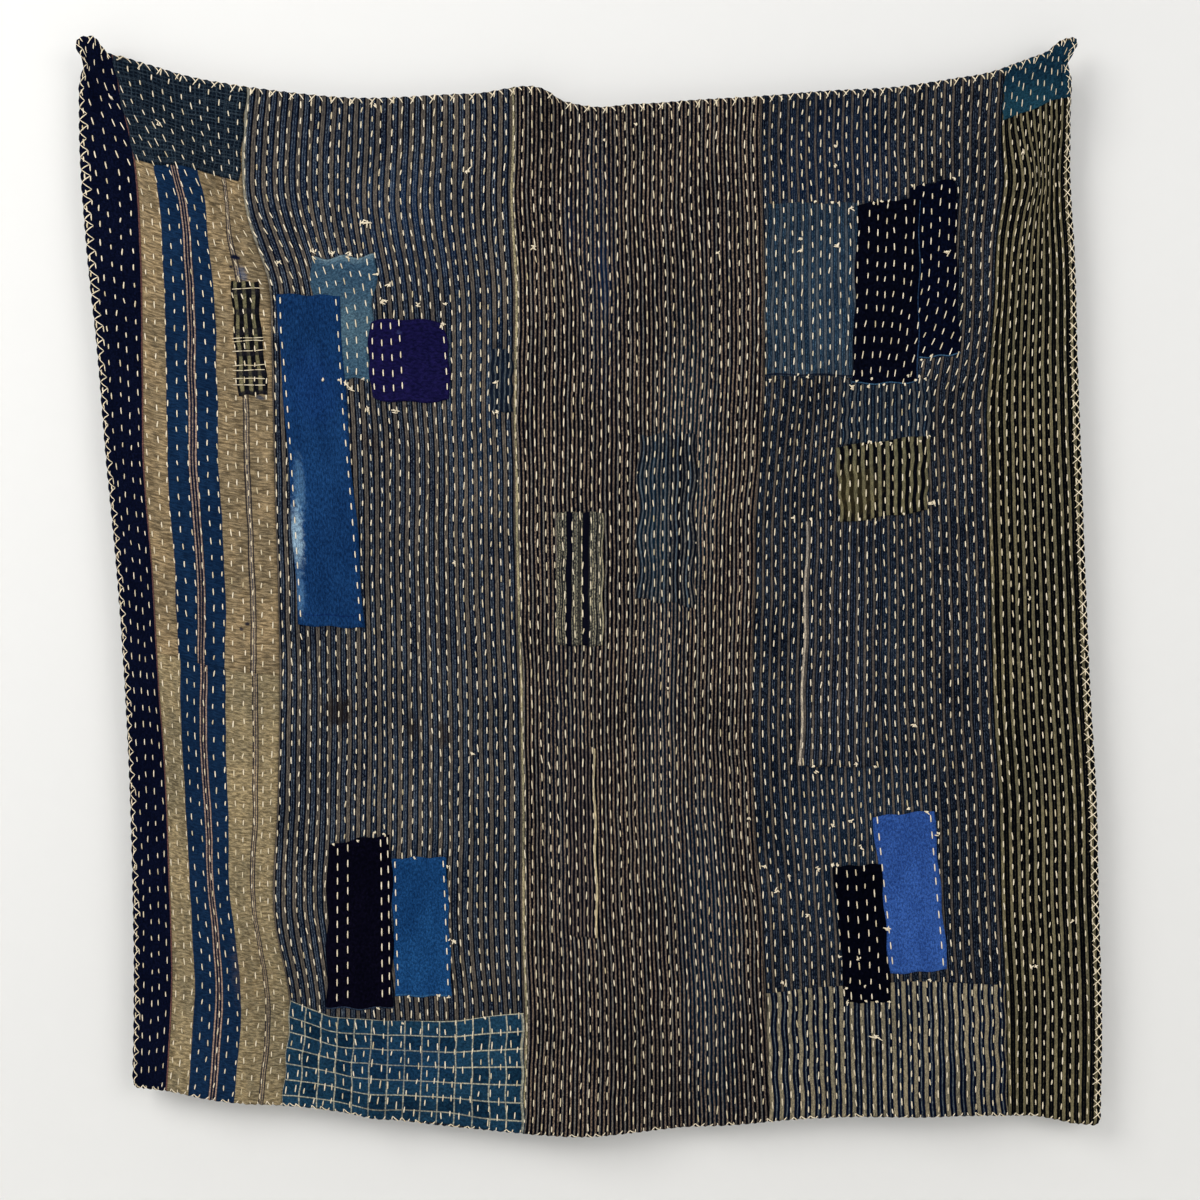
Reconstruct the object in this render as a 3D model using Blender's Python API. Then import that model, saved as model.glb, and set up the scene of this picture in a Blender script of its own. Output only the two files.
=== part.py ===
"""Boro patched cloth, hung from pins at its two top corners and at the middle of its top edge.

Narrow loom widths are joined edge to edge, and patches are sewn on their front. Every piece is cut out
flat, in millimetres, and then hung: a lattice over the whole cloth says where each place of the flat
cloth ends up. The patches bend with the same lattice as the widths behind them, so they lie on them all over.

The origin is the pin at the middle of the top edge. +X is right, +Z is up, and the front faces -Y.
"""

from collections import namedtuple

import bmesh
import bpy
import numpy as np
from mathutils import Vector

METRES_PER_MM = 0.001
COLLECTION_NAME = "boro_patched_cloth"

# Sizes of the flat cloth and of its pieces, in mm
FLAT_LENGTH = 1350.0
WIDTH_THICKNESS = 2.0
PATCH_THICKNESS = 1.0
GAP = 0.3
JOIN_DOWN = 780.0

# The lattice on which the cloth hangs
ROWS = 45
SAME_LINE = 0.4
INVERSE_STEPS = 12

FABRIC_ROUGHNESS = 0.92

# The loom widths, left to right. Each hangs between two seams of the table of sections.
Loom = namedtuple("Loom", "name left_seam right_seam flat_width columns top foot colour")
LOOM_WIDTHS = (
    Loom("navy_strip", "left_edge", "navy_seam", 60.0, 2, 0.0, FLAT_LENGTH, (0.010, 0.014, 0.040)),
    Loom("tan_width_upper", "navy_seam", "tan_seam", 160.0, 5, 0.0, JOIN_DOWN, (0.110, 0.105, 0.085)),
    Loom("tan_width_lower", "navy_seam", "tan_seam", 160.0, 5, JOIN_DOWN, FLAT_LENGTH, (0.120, 0.105, 0.080)),
    Loom("grey_width_left", "tan_seam", "pale_seam", 302.0, 10, 0.0, FLAT_LENGTH, (0.040, 0.045, 0.055)),
    Loom("brown_width", "pale_seam", "brown_seam", 307.0, 10, 0.0, FLAT_LENGTH, (0.050, 0.040, 0.034)),
    Loom("grey_width_right", "brown_seam", "olive_seam", 302.0, 10, 0.0, FLAT_LENGTH, (0.036, 0.042, 0.055)),
    Loom("olive_strip", "olive_seam", "right_edge", 125.0, 4, 0.0, FLAT_LENGTH, (0.062, 0.055, 0.030)),
)

# Where the side edges and the seams hang, in mm right of the middle pin, at shares of the way down
Section = namedtuple(
    "Section", "share left_edge navy_seam tan_seam pale_seam brown_seam olive_seam right_edge"
)
SECTIONS = (
    Section(0.00, -618, -566, -397, -59, 261, 573, 667),
    Section(0.05, -613, -553, -403, -58, 260, 571, 657),
    Section(0.10, -612, -541, -406, -60, 262, 573, 660),
    Section(0.20, -603, -532, -374, -54, 264, 566, 664),
    Section(0.30, -589, -530, -365, -56, 262, 552, 667),
    Section(0.40, -578, -527, -360, -54, 253, 551, 672),
    Section(0.50, -565, -515, -355, -51, 251, 554, 677),
    Section(0.60, -555, -508, -353, -47, 247, 557, 683),
    Section(0.70, -548, -499, -356, -45, 251, 565, 691),
    Section(0.80, -544, -495, -361, -45, 261, 568, 694),
    Section(0.90, -542, -492, -341, -41, 267, 575, 698),
    Section(1.00, -544, -499, -352, -47, 273, 577, 696),
)

# Heights of the two hems along the cloth, in mm above the middle pin
HemPoint = namedtuple("HemPoint", "along height")
TOP_HEM = (
    HemPoint(-621, 73),
    HemPoint(-589, 67),
    HemPoint(-557, 51),
    HemPoint(-522, 40),
    HemPoint(-468, 24),
    HemPoint(-419, 15),
    HemPoint(-370, 8),
    HemPoint(-329, 3),
    HemPoint(-271, -2),
    HemPoint(-109, 3),
    HemPoint(-6, 4),
    HemPoint(10, -6),
    HemPoint(104, -10),
    HemPoint(178, -5),
    HemPoint(264, 0),
    HemPoint(337, 6),
    HemPoint(439, 12),
    HemPoint(512, 23),
    HemPoint(549, 29),
    HemPoint(598, 46),
    HemPoint(622, 56),
    HemPoint(643, 69),
    HemPoint(669, 75),
)
FOOT_HEM = (
    HemPoint(-544, -1270),
    HemPoint(-480, -1277),
    HemPoint(-407, -1290),
    HemPoint(-329, -1295),
    HemPoint(-227, -1309),
    HemPoint(-120, -1322),
    HemPoint(14, -1331),
    HemPoint(104, -1327),
    HemPoint(202, -1321),
    HemPoint(337, -1309),
    HemPoint(439, -1307),
    HemPoint(512, -1304),
    HemPoint(562, -1306),
    HemPoint(611, -1309),
    HemPoint(659, -1316),
    HemPoint(696, -1320),
)

# Folds as lines on the hung cloth. A rise is how far a fold stands towards the front at its start, middle
# and end, and a fold with a negative rise is a furrow. All in mm.
Fold = namedtuple("Fold", "name start_x start_z end_x end_z reach start_rise middle_rise end_rise")
FOLDS = (
    Fold("left swag at the corner", -594, 56, -457, -109, 24, 12, 17, 16),
    Fold("left swag furrow", -545, 44, -420, -105, 18, -3, -8, -4),
    Fold("left swag below it", -457, -109, -367, -301, 30, 15, 14, 10),
    Fold("left swag tail", -367, -301, -111, -595, 50, 10, 9, 2),
    Fold("right swag at the corner", 648, 52, 605, -122, 24, 12, 16, 14),
    Fold("right swag furrow", 612, 40, 560, -110, 20, -3, -7, -3),
    Fold("right swag below it", 605, -122, 516, -352, 32, 13, 12, 9),
    Fold("right swag tail", 516, -352, 388, -595, 45, 9, 7, 2),
    Fold("second right swag", 445, -224, 298, -378, 32, 3, 9, 9),
    Fold("second right swag tail", 298, -378, 170, -634, 40, 9, 8, 2),
    Fold("pinch under the middle pin", 0, -3, -5, -300, 16, -10, -7, -1),
    Fold("ridge left of the pinch", -28, -6, -73, -300, 20, 5, 5, 1),
    Fold("ridge right of the pinch", 30, -14, 81, -300, 22, 6, 5, 1),
    Fold("bow of the left strips", -524, -416, -508, -774, 24, 1, 8, 3),
    Fold("kink by the check patch", -378, -979, -329, -1158, 24, 2, 10, 6),
    Fold("crease of the check patch", -303, -1139, -233, -1299, 22, 4, 9, 9),
    Fold("wrinkle over the black patch", -291, -851, -207, -979, 22, 1, 6, 1),
    Fold("bend of the selvedge patch", 330, -595, 305, -774, 22, 1, 6, 1),
    Fold("left foot wave", -440, -1080, -450, -1280, 40, 0, 5, 9),
    Fold("middle foot wave", 55, -1010, 42, -1331, 62, 0, 6, 11),
    Fold("furrow of the foot", 160, -1060, 165, -1324, 44, 0, -4, -8),
    Fold("right foot wave", 477, -1005, 490, -1306, 60, 0, 6, 11),
    Fold("right foot furrow", 610, -1080, 618, -1310, 34, 0, -4, -8),
    Fold("belly of the left half", -291, -416, -291, -1030, 170, 8, 14, 8),
    Fold("belly of the right half", 375, -416, 401, -1030, 180, 8, 14, 8),
)

# Patches sewn on the widths, each by its corners as they hang, clockwise from the top left, in mm right of
# and above the middle pin. Where two overlap, the later one lies on top and the earlier one stops at its
# edge.
Patch = namedtuple("Patch", "name corners colour")
PATCHES = (
    Patch("plaid_corner_patch", ((-566, 90), (-397, 40), (-407, -111), (-541, -83)), (0.030, 0.055, 0.085)),
    Patch("teal_corner_patch", ((573, 80), (700, 110), (700, -4), (571, -30)), (0.020, 0.090, 0.160)),
    Patch("darned_patch", ((-415, -241), (-379, -242), (-368, -384), (-407, -385)), (0.045, 0.045, 0.045)),
    Patch("faded_teal_patch", ((-316, -209), (-230, -205), (-240, -365), (-303, -366)), (0.045, 0.100, 0.160)),
    Patch("long_blue_patch", ((-356, -256), (-278, -257), (-244, -682), (-329, -678)), (0.020, 0.065, 0.210)),
    Patch("purple_patch", ((-242, -287), (-142, -288), (-134, -394), (-237, -393)), (0.024, 0.016, 0.100)),
    Patch("shadow_stripe_patch", ((-85, -325), (-56, -325), (-57, -406), (-87, -406)), (0.035, 0.055, 0.080)),
    Patch("dark_band_patch", ((0, -533), (59, -534), (59, -705), (-1, -704)), (0.040, 0.042, 0.040)),
    Patch("blue_line_patch", ((104, -434), (180, -435), (175, -655), (102, -644)), (0.030, 0.045, 0.070)),
    Patch("narrow_brown_patch", ((14, -835), (49, -836), (54, -1078), (15, -1076)), (0.040, 0.036, 0.036)),
    Patch("faded_stripe_patch", ((267, -138), (390, -138), (390, -362), (266, -362)), (0.045, 0.070, 0.110)),
    Patch("faded_stripe_offcut", ((361, -364), (477, -364), (477, -442), (360, -449)), (0.045, 0.070, 0.110)),
    Patch("navy_patch_right", ((451, -118), (511, -106), (512, -335), (461, -339)), (0.008, 0.012, 0.050)),
    Patch("navy_patch_left", ((385, -138), (465, -132), (461, -370), (375, -372)), (0.008, 0.010, 0.036)),
    Patch("selvedge_patch", ((317, -545), (413, -545), (411, -858), (308, -858)), (0.030, 0.036, 0.050)),
    Patch("olive_patch", ((355, -451), (475, -436), (471, -532), (361, -548)), (0.110, 0.100, 0.055)),
    Patch(
        "check_patch",
        ((-340, -1157), (-290, -1175), (-219, -1185), (-125, -1183), (-42, -1175), (-42, -1360), (-352, -1340)),
        (0.020, 0.055, 0.120),
    ),
    Patch(
        "striped_corner_patch",
        ((267, -1148), (439, -1132), (573, -1137), (577, -1350), (272, -1350)),
        (0.075, 0.072, 0.080),
    ),
    Patch("mid_blue_patch", ((-211, -975), (-141, -974), (-134, -1153), (-207, -1153)), (0.026, 0.075, 0.240)),
    Patch("near_black_patch", ((-292, -957), (-211, -943), (-209, -1169), (-294, -1167)), (0.012, 0.008, 0.030)),
    Patch("bright_blue_patch", ((402, -922), (481, -914), (498, -1117), (424, -1123)), (0.040, 0.100, 0.380)),
    Patch("dark_navy_patch", ((352, -986), (413, -982), (426, -1158), (369, -1160)), (0.008, 0.010, 0.036)),
)

SEAMS = ("left_edge", "navy_seam", "tan_seam", "pale_seam", "brown_seam", "olive_seam", "right_edge")


def smooth(places, values, place):
    """The value at one place of the smooth curve that runs through a table's values."""
    index = int(np.clip(np.searchsorted(places, place) - 1, 0, len(places) - 2))
    slopes = np.gradient(np.asarray(values, float), np.asarray(places, float))
    span = places[index + 1] - places[index]
    t = np.clip((place - places[index]) / span, 0.0, 1.0)
    from_start = (1 + 2 * t) * (1 - t) ** 2 * values[index] + t * (1 - t) ** 2 * span * slopes[index]
    from_end = t * t * (3 - 2 * t) * values[index + 1] - t * t * (1 - t) * span * slopes[index + 1]
    return float(from_start + from_end)


def flat_seams():
    """How far right of the flat cloth's left edge each seam lies."""
    places = {"left_edge": 0.0}
    for loom in LOOM_WIDTHS:
        places[loom.right_seam] = places[loom.left_seam] + loom.flat_width
    return places


FLAT_SEAMS = flat_seams()
FLAT_WIDTH = FLAT_SEAMS["right_edge"]


def place_across(flat_x, share):
    """How far right of the middle pin a place of the flat cloth hangs, at a share of the way down."""
    shares = [section.share for section in SECTIONS]
    hung = [smooth(shares, [getattr(section, seam) for section in SECTIONS], share) for seam in SEAMS]
    return float(np.interp(flat_x, [FLAT_SEAMS[seam] for seam in SEAMS], hung))


def hem_height(hem, along):
    return smooth([point.along for point in hem], [point.height for point in hem], along)


def forward(x, z):
    """How far the hung cloth stands towards the front: the sum of its folds."""
    total = 0.0
    place = Vector((x, z))
    for fold in FOLDS:
        start = Vector((fold.start_x, fold.start_z))
        line = Vector((fold.end_x, fold.end_z)) - start
        along = min(max((place - start).dot(line) / line.length_squared, 0.0), 1.0)
        away = (place - start - line * along).length
        rise = smooth((0.0, 0.5, 1.0), (fold.start_rise, fold.middle_rise, fold.end_rise), along)
        total += rise * np.exp(-((away / fold.reach) ** 2))
    return total


def hung_place(flat_x, down):
    """The hung point, in mm, of a place that lies right of and down from the flat cloth's top left corner."""
    share = down / FLAT_LENGTH
    x = place_across(flat_x, share)
    top = hem_height(TOP_HEM, place_across(flat_x, 0.0))
    foot = hem_height(FOOT_HEM, place_across(flat_x, 1.0))
    z = top + (foot - top) * share
    return Vector((x, -forward(x, z), z))


def flat_place(x, z):
    """The place on the flat cloth that hangs at x and z. One past the cloth's edge is brought to the edge."""
    seams = [FLAT_SEAMS[seam] for seam in SEAMS]
    down = FLAT_LENGTH / 2
    for _ in range(INVERSE_STEPS):
        flat_x = float(np.interp(x, [place_across(seam, down / FLAT_LENGTH) for seam in seams], seams))
        top = hem_height(TOP_HEM, place_across(flat_x, 0.0))
        foot = hem_height(FOOT_HEM, place_across(flat_x, 1.0))
        down = min(max((z - top) / (foot - top), 0.0), 1.0) * FLAT_LENGTH
    return Vector((flat_x, -down, 0.0))


class Lattice:
    """The hung cloth as a net of flat triangles between knots."""

    def __init__(self):
        self.across = self.column_places()
        self.down = [FLAT_LENGTH * row / ROWS for row in range(ROWS + 1)]
        self.knots = [[hung_place(x, down) for x in self.across] for down in self.down]

    @staticmethod
    def column_places():
        places = [0.0]
        for loom in LOOM_WIDTHS:
            start = FLAT_SEAMS[loom.left_seam]
            if start < places[-1]:
                continue
            cell = loom.flat_width / loom.columns
            places += [start + cell * (column + 1) for column in range(loom.columns)]
        return places

    def cell(self, flat_x, down):
        column = int(np.clip(np.searchsorted(self.across, flat_x, side="right") - 1, 0, len(self.across) - 2))
        row = int(np.clip(np.searchsorted(self.down, down, side="right") - 1, 0, ROWS - 1))
        return column, row

    def falls_rightward(self, column):
        """Whether a cell's diagonal runs down to the right, as the folds of the cloth's left half do."""
        return self.across[column] < FLAT_SEAMS["pale_seam"]

    def diagonal(self, column, row):
        """The two ends of a cell's diagonal on the flat cloth."""
        left, right = self.across[column], self.across[column + 1]
        above, below = -self.down[row], -self.down[row + 1]
        if self.falls_rightward(column):
            return Vector((left, above, 0.0)), Vector((right, below, 0.0))
        return Vector((right, above, 0.0)), Vector((left, below, 0.0))

    def hang(self, point):
        """Where a point of the flat cloth hangs, in metres. The point's z is how far it lies in front."""
        column, row = self.cell(point.x, -point.y)
        right = (point.x - self.across[column]) / (self.across[column + 1] - self.across[column])
        below = (-point.y - self.down[row]) / (self.down[row + 1] - self.down[row])
        if self.falls_rightward(column):
            shares = self.shares_rightward(right, below)
        else:
            shares = self.shares_leftward(right, below)
        hung = Vector((0.0, -point.z, 0.0))
        for (step_across, step_down), share in shares.items():
            hung += share * self.knots[row + step_down][column + step_across]
        return hung * METRES_PER_MM

    @staticmethod
    def shares_rightward(right, below):
        if right >= below:
            return {(0, 0): 1 - right, (1, 0): right - below, (1, 1): below}
        return {(0, 0): 1 - below, (0, 1): below - right, (1, 1): right}

    @staticmethod
    def shares_leftward(right, below):
        if right + below <= 1:
            return {(0, 0): 1 - right - below, (1, 0): right, (0, 1): below}
        return {(1, 0): 1 - below, (0, 1): 1 - right, (1, 1): right + below - 1}


def cut_along(sheet, faces, place, side):
    """Cuts some faces of a flat sheet along the line through a place, square to a side direction."""
    edges = {edge for face in faces for edge in face.edges}
    verts = {vert for face in faces for vert in face.verts}
    bmesh.ops.bisect_plane(
        sheet, geom=list(verts) + list(edges) + list(faces), dist=SAME_LINE, plane_co=place, plane_no=side
    )


def flat_piece(outline):
    """A flat sheet of one face with the given outline, its front towards +Z."""
    sheet = bmesh.new()
    face = sheet.faces.new([sheet.verts.new(corner) for corner in outline])
    face.normal_update()
    if face.normal.z < 0:
        face.normal_flip()
    return sheet


def sides_of(outline):
    """Each side of a clockwise outline as a place on it and the direction square to it, outwards."""
    sides = []
    for corner, following in zip(outline, outline[1:] + outline[:1]):
        run = (following - corner).normalized()
        sides.append((corner, Vector((-run.y, run.x, 0.0))))
    return sides


def take_away_covered(sheet, cover):
    """Cuts away what lies under a patch sewn on top, and leaves a gap round it."""
    sides = sides_of(cover)
    for index, (corner, outward) in enumerate(sides):
        under = [face for face in sheet.faces if lies_inside(face, sides[:index])]
        cut_along(sheet, under, corner + outward * GAP, outward)
    covered = [face for face in sheet.faces if lies_inside(face, sides)]
    bmesh.ops.delete(sheet, geom=covered, context="FACES")


def lies_inside(face, sides):
    """Whether a face lies inside some sides of a cover, or in the gap round it."""
    centre = face.calc_center_median()
    return all((centre - corner).dot(outward) < GAP for corner, outward in sides)


def touches(sheet, cover):
    """Whether the box round a sheet meets the box round a cover."""
    xs = [vert.co.x for vert in sheet.verts]
    ys = [vert.co.y for vert in sheet.verts]
    apart_across = min(xs) > max(corner.x for corner in cover) or max(xs) < min(corner.x for corner in cover)
    apart_down = min(ys) > max(corner.y for corner in cover) or max(ys) < min(corner.y for corner in cover)
    return not (apart_across or apart_down)


def cut_along_lattice(sheet, lattice):
    """Cuts a flat sheet along the lattice's columns, rows and diagonals, so that it bends with the cloth."""
    xs = [vert.co.x for vert in sheet.verts]
    ys = [vert.co.y for vert in sheet.verts]
    for x in lattice.across:
        if min(xs) + SAME_LINE < x < max(xs) - SAME_LINE:
            cut_along(sheet, list(sheet.faces), Vector((x, 0.0, 0.0)), Vector((1.0, 0.0, 0.0)))
    for down in lattice.down:
        if min(ys) + SAME_LINE < -down < max(ys) - SAME_LINE:
            cut_along(sheet, list(sheet.faces), Vector((0.0, -down, 0.0)), Vector((0.0, 1.0, 0.0)))
    cells = {}
    for face in sheet.faces:
        centre = face.calc_center_median()
        cells.setdefault(lattice.cell(centre.x, -centre.y), []).append(face)
    for (column, row), faces in cells.items():
        start, end = lattice.diagonal(column, row)
        run = (end - start).normalized()
        cut_along(sheet, faces, start, Vector((-run.y, run.x, 0.0)))
    bmesh.ops.triangulate(sheet, faces=list(sheet.faces))


def thicken(sheet, back, thickness):
    """Gives a flat sheet its thickness in front of the place where its back lies."""
    raised = bmesh.ops.extrude_face_region(sheet, geom=list(sheet.faces))["geom"]
    fronts = {item for item in raised if isinstance(item, bmesh.types.BMVert)}
    for vert in sheet.verts:
        vert.co.z = back + thickness if vert in fronts else back
    bmesh.ops.recalc_face_normals(sheet, faces=list(sheet.faces))


def fabric(name, colour):
    material = bpy.data.materials.new(name)
    material.use_nodes = True
    shader = material.node_tree.nodes["Principled BSDF"]
    shader.inputs["Base Color"].default_value = (*colour, 1.0)
    shader.inputs["Roughness"].default_value = FABRIC_ROUGHNESS
    shader.inputs["Metallic"].default_value = 0.0
    material.diffuse_color = (*colour, 1.0)
    return material


def add_piece(name, sheet, lattice, colour, collection):
    """Hangs a finished flat piece and adds it to the scene."""
    for vert in sheet.verts:
        vert.co = lattice.hang(vert.co)
    mesh = bpy.data.meshes.new(name)
    sheet.to_mesh(mesh)
    sheet.free()
    mesh.materials.append(fabric(name, colour))
    collection.objects.link(bpy.data.objects.new(name, mesh))


def add_loom_width(loom, lattice, collection):
    """One width of cloth, half a gap short of the seam on each side where another width follows."""
    left = FLAT_SEAMS[loom.left_seam] + (GAP / 2 if loom.left_seam != SEAMS[0] else 0.0)
    right = FLAT_SEAMS[loom.right_seam] - (GAP / 2 if loom.right_seam != SEAMS[-1] else 0.0)
    top = loom.top + (GAP / 2 if loom.top > 0 else 0.0)
    foot = loom.foot - (GAP / 2 if loom.foot < FLAT_LENGTH else 0.0)
    corners = ((left, -top, 0.0), (right, -top, 0.0), (right, -foot, 0.0), (left, -foot, 0.0))
    sheet = flat_piece([Vector(corner) for corner in corners])
    cut_along_lattice(sheet, lattice)
    thicken(sheet, -WIDTH_THICKNESS, WIDTH_THICKNESS)
    add_piece(loom.name, sheet, lattice, loom.colour, collection)


def add_patch(patch, covers, lattice, collection):
    """One patch, cut back where later patches lie on it."""
    sheet = flat_piece([flat_place(*corner) for corner in patch.corners])
    for cover in covers:
        if touches(sheet, cover):
            take_away_covered(sheet, cover)
    cut_along_lattice(sheet, lattice)
    thicken(sheet, GAP, PATCH_THICKNESS)
    add_piece(patch.name, sheet, lattice, patch.colour, collection)


def main():
    for thing in list(bpy.data.objects):
        bpy.data.objects.remove(thing, do_unlink=True)
    collection = bpy.data.collections.new(COLLECTION_NAME)
    bpy.context.scene.collection.children.link(collection)
    lattice = Lattice()
    for loom in LOOM_WIDTHS:
        add_loom_width(loom, lattice, collection)
    outlines = [[flat_place(*corner) for corner in patch.corners] for patch in PATCHES]
    for index, patch in enumerate(PATCHES):
        add_patch(patch, outlines[index + 1 :], lattice, collection)


main()
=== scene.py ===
"""The look of a boro patched cloth hung from three pins: stripes, patches, stitches and edge thread.

The cloth is worked out flat, in millimetres. There u runs right from the left edge and v runs down from the
top hem. hang() takes places of the flat cloth to where they hang, in metres, with +Z up and the front
towards -Y. x and z are millimetres right of and above the middle pin.
"""

from collections import namedtuple

import bmesh
import bpy
import numpy as np
from bpy.props import FloatProperty, FloatVectorProperty, PointerProperty
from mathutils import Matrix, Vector


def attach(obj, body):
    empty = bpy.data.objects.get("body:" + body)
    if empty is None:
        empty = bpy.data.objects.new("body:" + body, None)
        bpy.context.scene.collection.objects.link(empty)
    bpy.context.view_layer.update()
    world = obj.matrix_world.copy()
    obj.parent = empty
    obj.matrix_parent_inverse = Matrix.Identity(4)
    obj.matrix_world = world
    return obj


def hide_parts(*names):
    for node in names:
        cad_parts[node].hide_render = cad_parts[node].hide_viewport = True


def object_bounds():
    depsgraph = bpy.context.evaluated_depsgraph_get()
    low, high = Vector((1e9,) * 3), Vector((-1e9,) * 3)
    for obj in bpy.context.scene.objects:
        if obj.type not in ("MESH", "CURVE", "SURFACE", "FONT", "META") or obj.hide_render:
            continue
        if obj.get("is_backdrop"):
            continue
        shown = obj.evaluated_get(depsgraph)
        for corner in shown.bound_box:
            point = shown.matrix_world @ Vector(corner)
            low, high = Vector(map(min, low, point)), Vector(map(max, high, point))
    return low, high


bl_info = {
    "name": "Boro patched cloth",
    "version": (1, 0, 0),
    "blender": (4, 5, 0),
    "location": "3D View > Sidebar > Boro",
    "description": "Builds a hung patched cloth with its weaves, running stitches and overcast edge",
    "category": "Add Mesh",
}

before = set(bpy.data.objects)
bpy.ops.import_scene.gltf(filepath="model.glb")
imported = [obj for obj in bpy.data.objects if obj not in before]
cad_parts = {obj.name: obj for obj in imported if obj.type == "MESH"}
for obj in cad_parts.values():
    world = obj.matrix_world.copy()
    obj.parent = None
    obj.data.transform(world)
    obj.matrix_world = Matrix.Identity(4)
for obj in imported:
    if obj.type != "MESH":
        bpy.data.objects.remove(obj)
CAD_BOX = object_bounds()

MM = 0.001
BODY = "root"
FLAT_MAP = "flat"
TONE = "tone"

FLAT_LENGTH = 1350.0
JOIN_DOWN = 780.0
INVERSE_STEPS = 14

# The loom widths, left to right, with the number of stitch rows on each and the step of their stitches
Loom = namedtuple("Loom", "name left_seam right_seam flat_width top foot rows step stitch")
LOOMS = (
    Loom("navy_strip", "left_edge", "navy_seam", 60.0, 0.0, FLAT_LENGTH, 5, 22.0, 8.6),
    Loom("tan_width_upper", "navy_seam", "tan_seam", 160.0, 0.0, JOIN_DOWN, 13, 21.6, 8.8),
    Loom("tan_width_lower", "navy_seam", "tan_seam", 160.0, JOIN_DOWN, FLAT_LENGTH, 13, 21.6, 8.8),
    Loom("grey_width_left", "tan_seam", "pale_seam", 302.0, 0.0, FLAT_LENGTH, 26, 21.0, 10.0),
    Loom("brown_width", "pale_seam", "brown_seam", 307.0, 0.0, FLAT_LENGTH, 27, 21.0, 11.0),
    Loom("grey_width_right", "brown_seam", "olive_seam", 302.0, 0.0, FLAT_LENGTH, 26, 20.6, 9.8),
    Loom("olive_strip", "olive_seam", "right_edge", 125.0, 0.0, FLAT_LENGTH, 11, 20.2, 9.6),
)

# Where the side edges and the seams hang, in mm right of the middle pin, at shares of the way down
Section = namedtuple(
    "Section", "share left_edge navy_seam tan_seam pale_seam brown_seam olive_seam right_edge"
)
SECTIONS = (
    Section(0.00, -618, -566, -397, -59, 261, 573, 667),
    Section(0.05, -613, -553, -403, -58, 260, 571, 657),
    Section(0.10, -612, -541, -406, -60, 262, 573, 660),
    Section(0.20, -603, -532, -374, -54, 264, 566, 664),
    Section(0.30, -589, -530, -365, -56, 262, 552, 667),
    Section(0.40, -578, -527, -360, -54, 253, 551, 672),
    Section(0.50, -565, -515, -355, -51, 251, 554, 677),
    Section(0.60, -555, -508, -353, -47, 247, 557, 683),
    Section(0.70, -548, -499, -356, -45, 251, 565, 691),
    Section(0.80, -544, -495, -361, -45, 261, 568, 694),
    Section(0.90, -542, -492, -341, -41, 267, 575, 698),
    Section(1.00, -544, -499, -352, -47, 273, 577, 696),
)

# Heights of the two hems along the cloth, in mm above the middle pin
HemPoint = namedtuple("HemPoint", "along height")
TOP_HEM = (
    HemPoint(-621, 73),
    HemPoint(-589, 67),
    HemPoint(-557, 51),
    HemPoint(-522, 40),
    HemPoint(-468, 24),
    HemPoint(-419, 15),
    HemPoint(-370, 8),
    HemPoint(-329, 3),
    HemPoint(-271, -2),
    HemPoint(-109, 3),
    HemPoint(-6, 4),
    HemPoint(10, -6),
    HemPoint(104, -10),
    HemPoint(178, -5),
    HemPoint(264, 0),
    HemPoint(337, 6),
    HemPoint(439, 12),
    HemPoint(512, 23),
    HemPoint(549, 29),
    HemPoint(598, 46),
    HemPoint(622, 56),
    HemPoint(643, 69),
    HemPoint(669, 75),
)
FOOT_HEM = (
    HemPoint(-544, -1270),
    HemPoint(-480, -1277),
    HemPoint(-407, -1290),
    HemPoint(-329, -1295),
    HemPoint(-227, -1309),
    HemPoint(-120, -1322),
    HemPoint(14, -1331),
    HemPoint(104, -1327),
    HemPoint(202, -1321),
    HemPoint(337, -1309),
    HemPoint(439, -1307),
    HemPoint(512, -1304),
    HemPoint(562, -1306),
    HemPoint(611, -1309),
    HemPoint(659, -1316),
    HemPoint(696, -1320),
)

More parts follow.
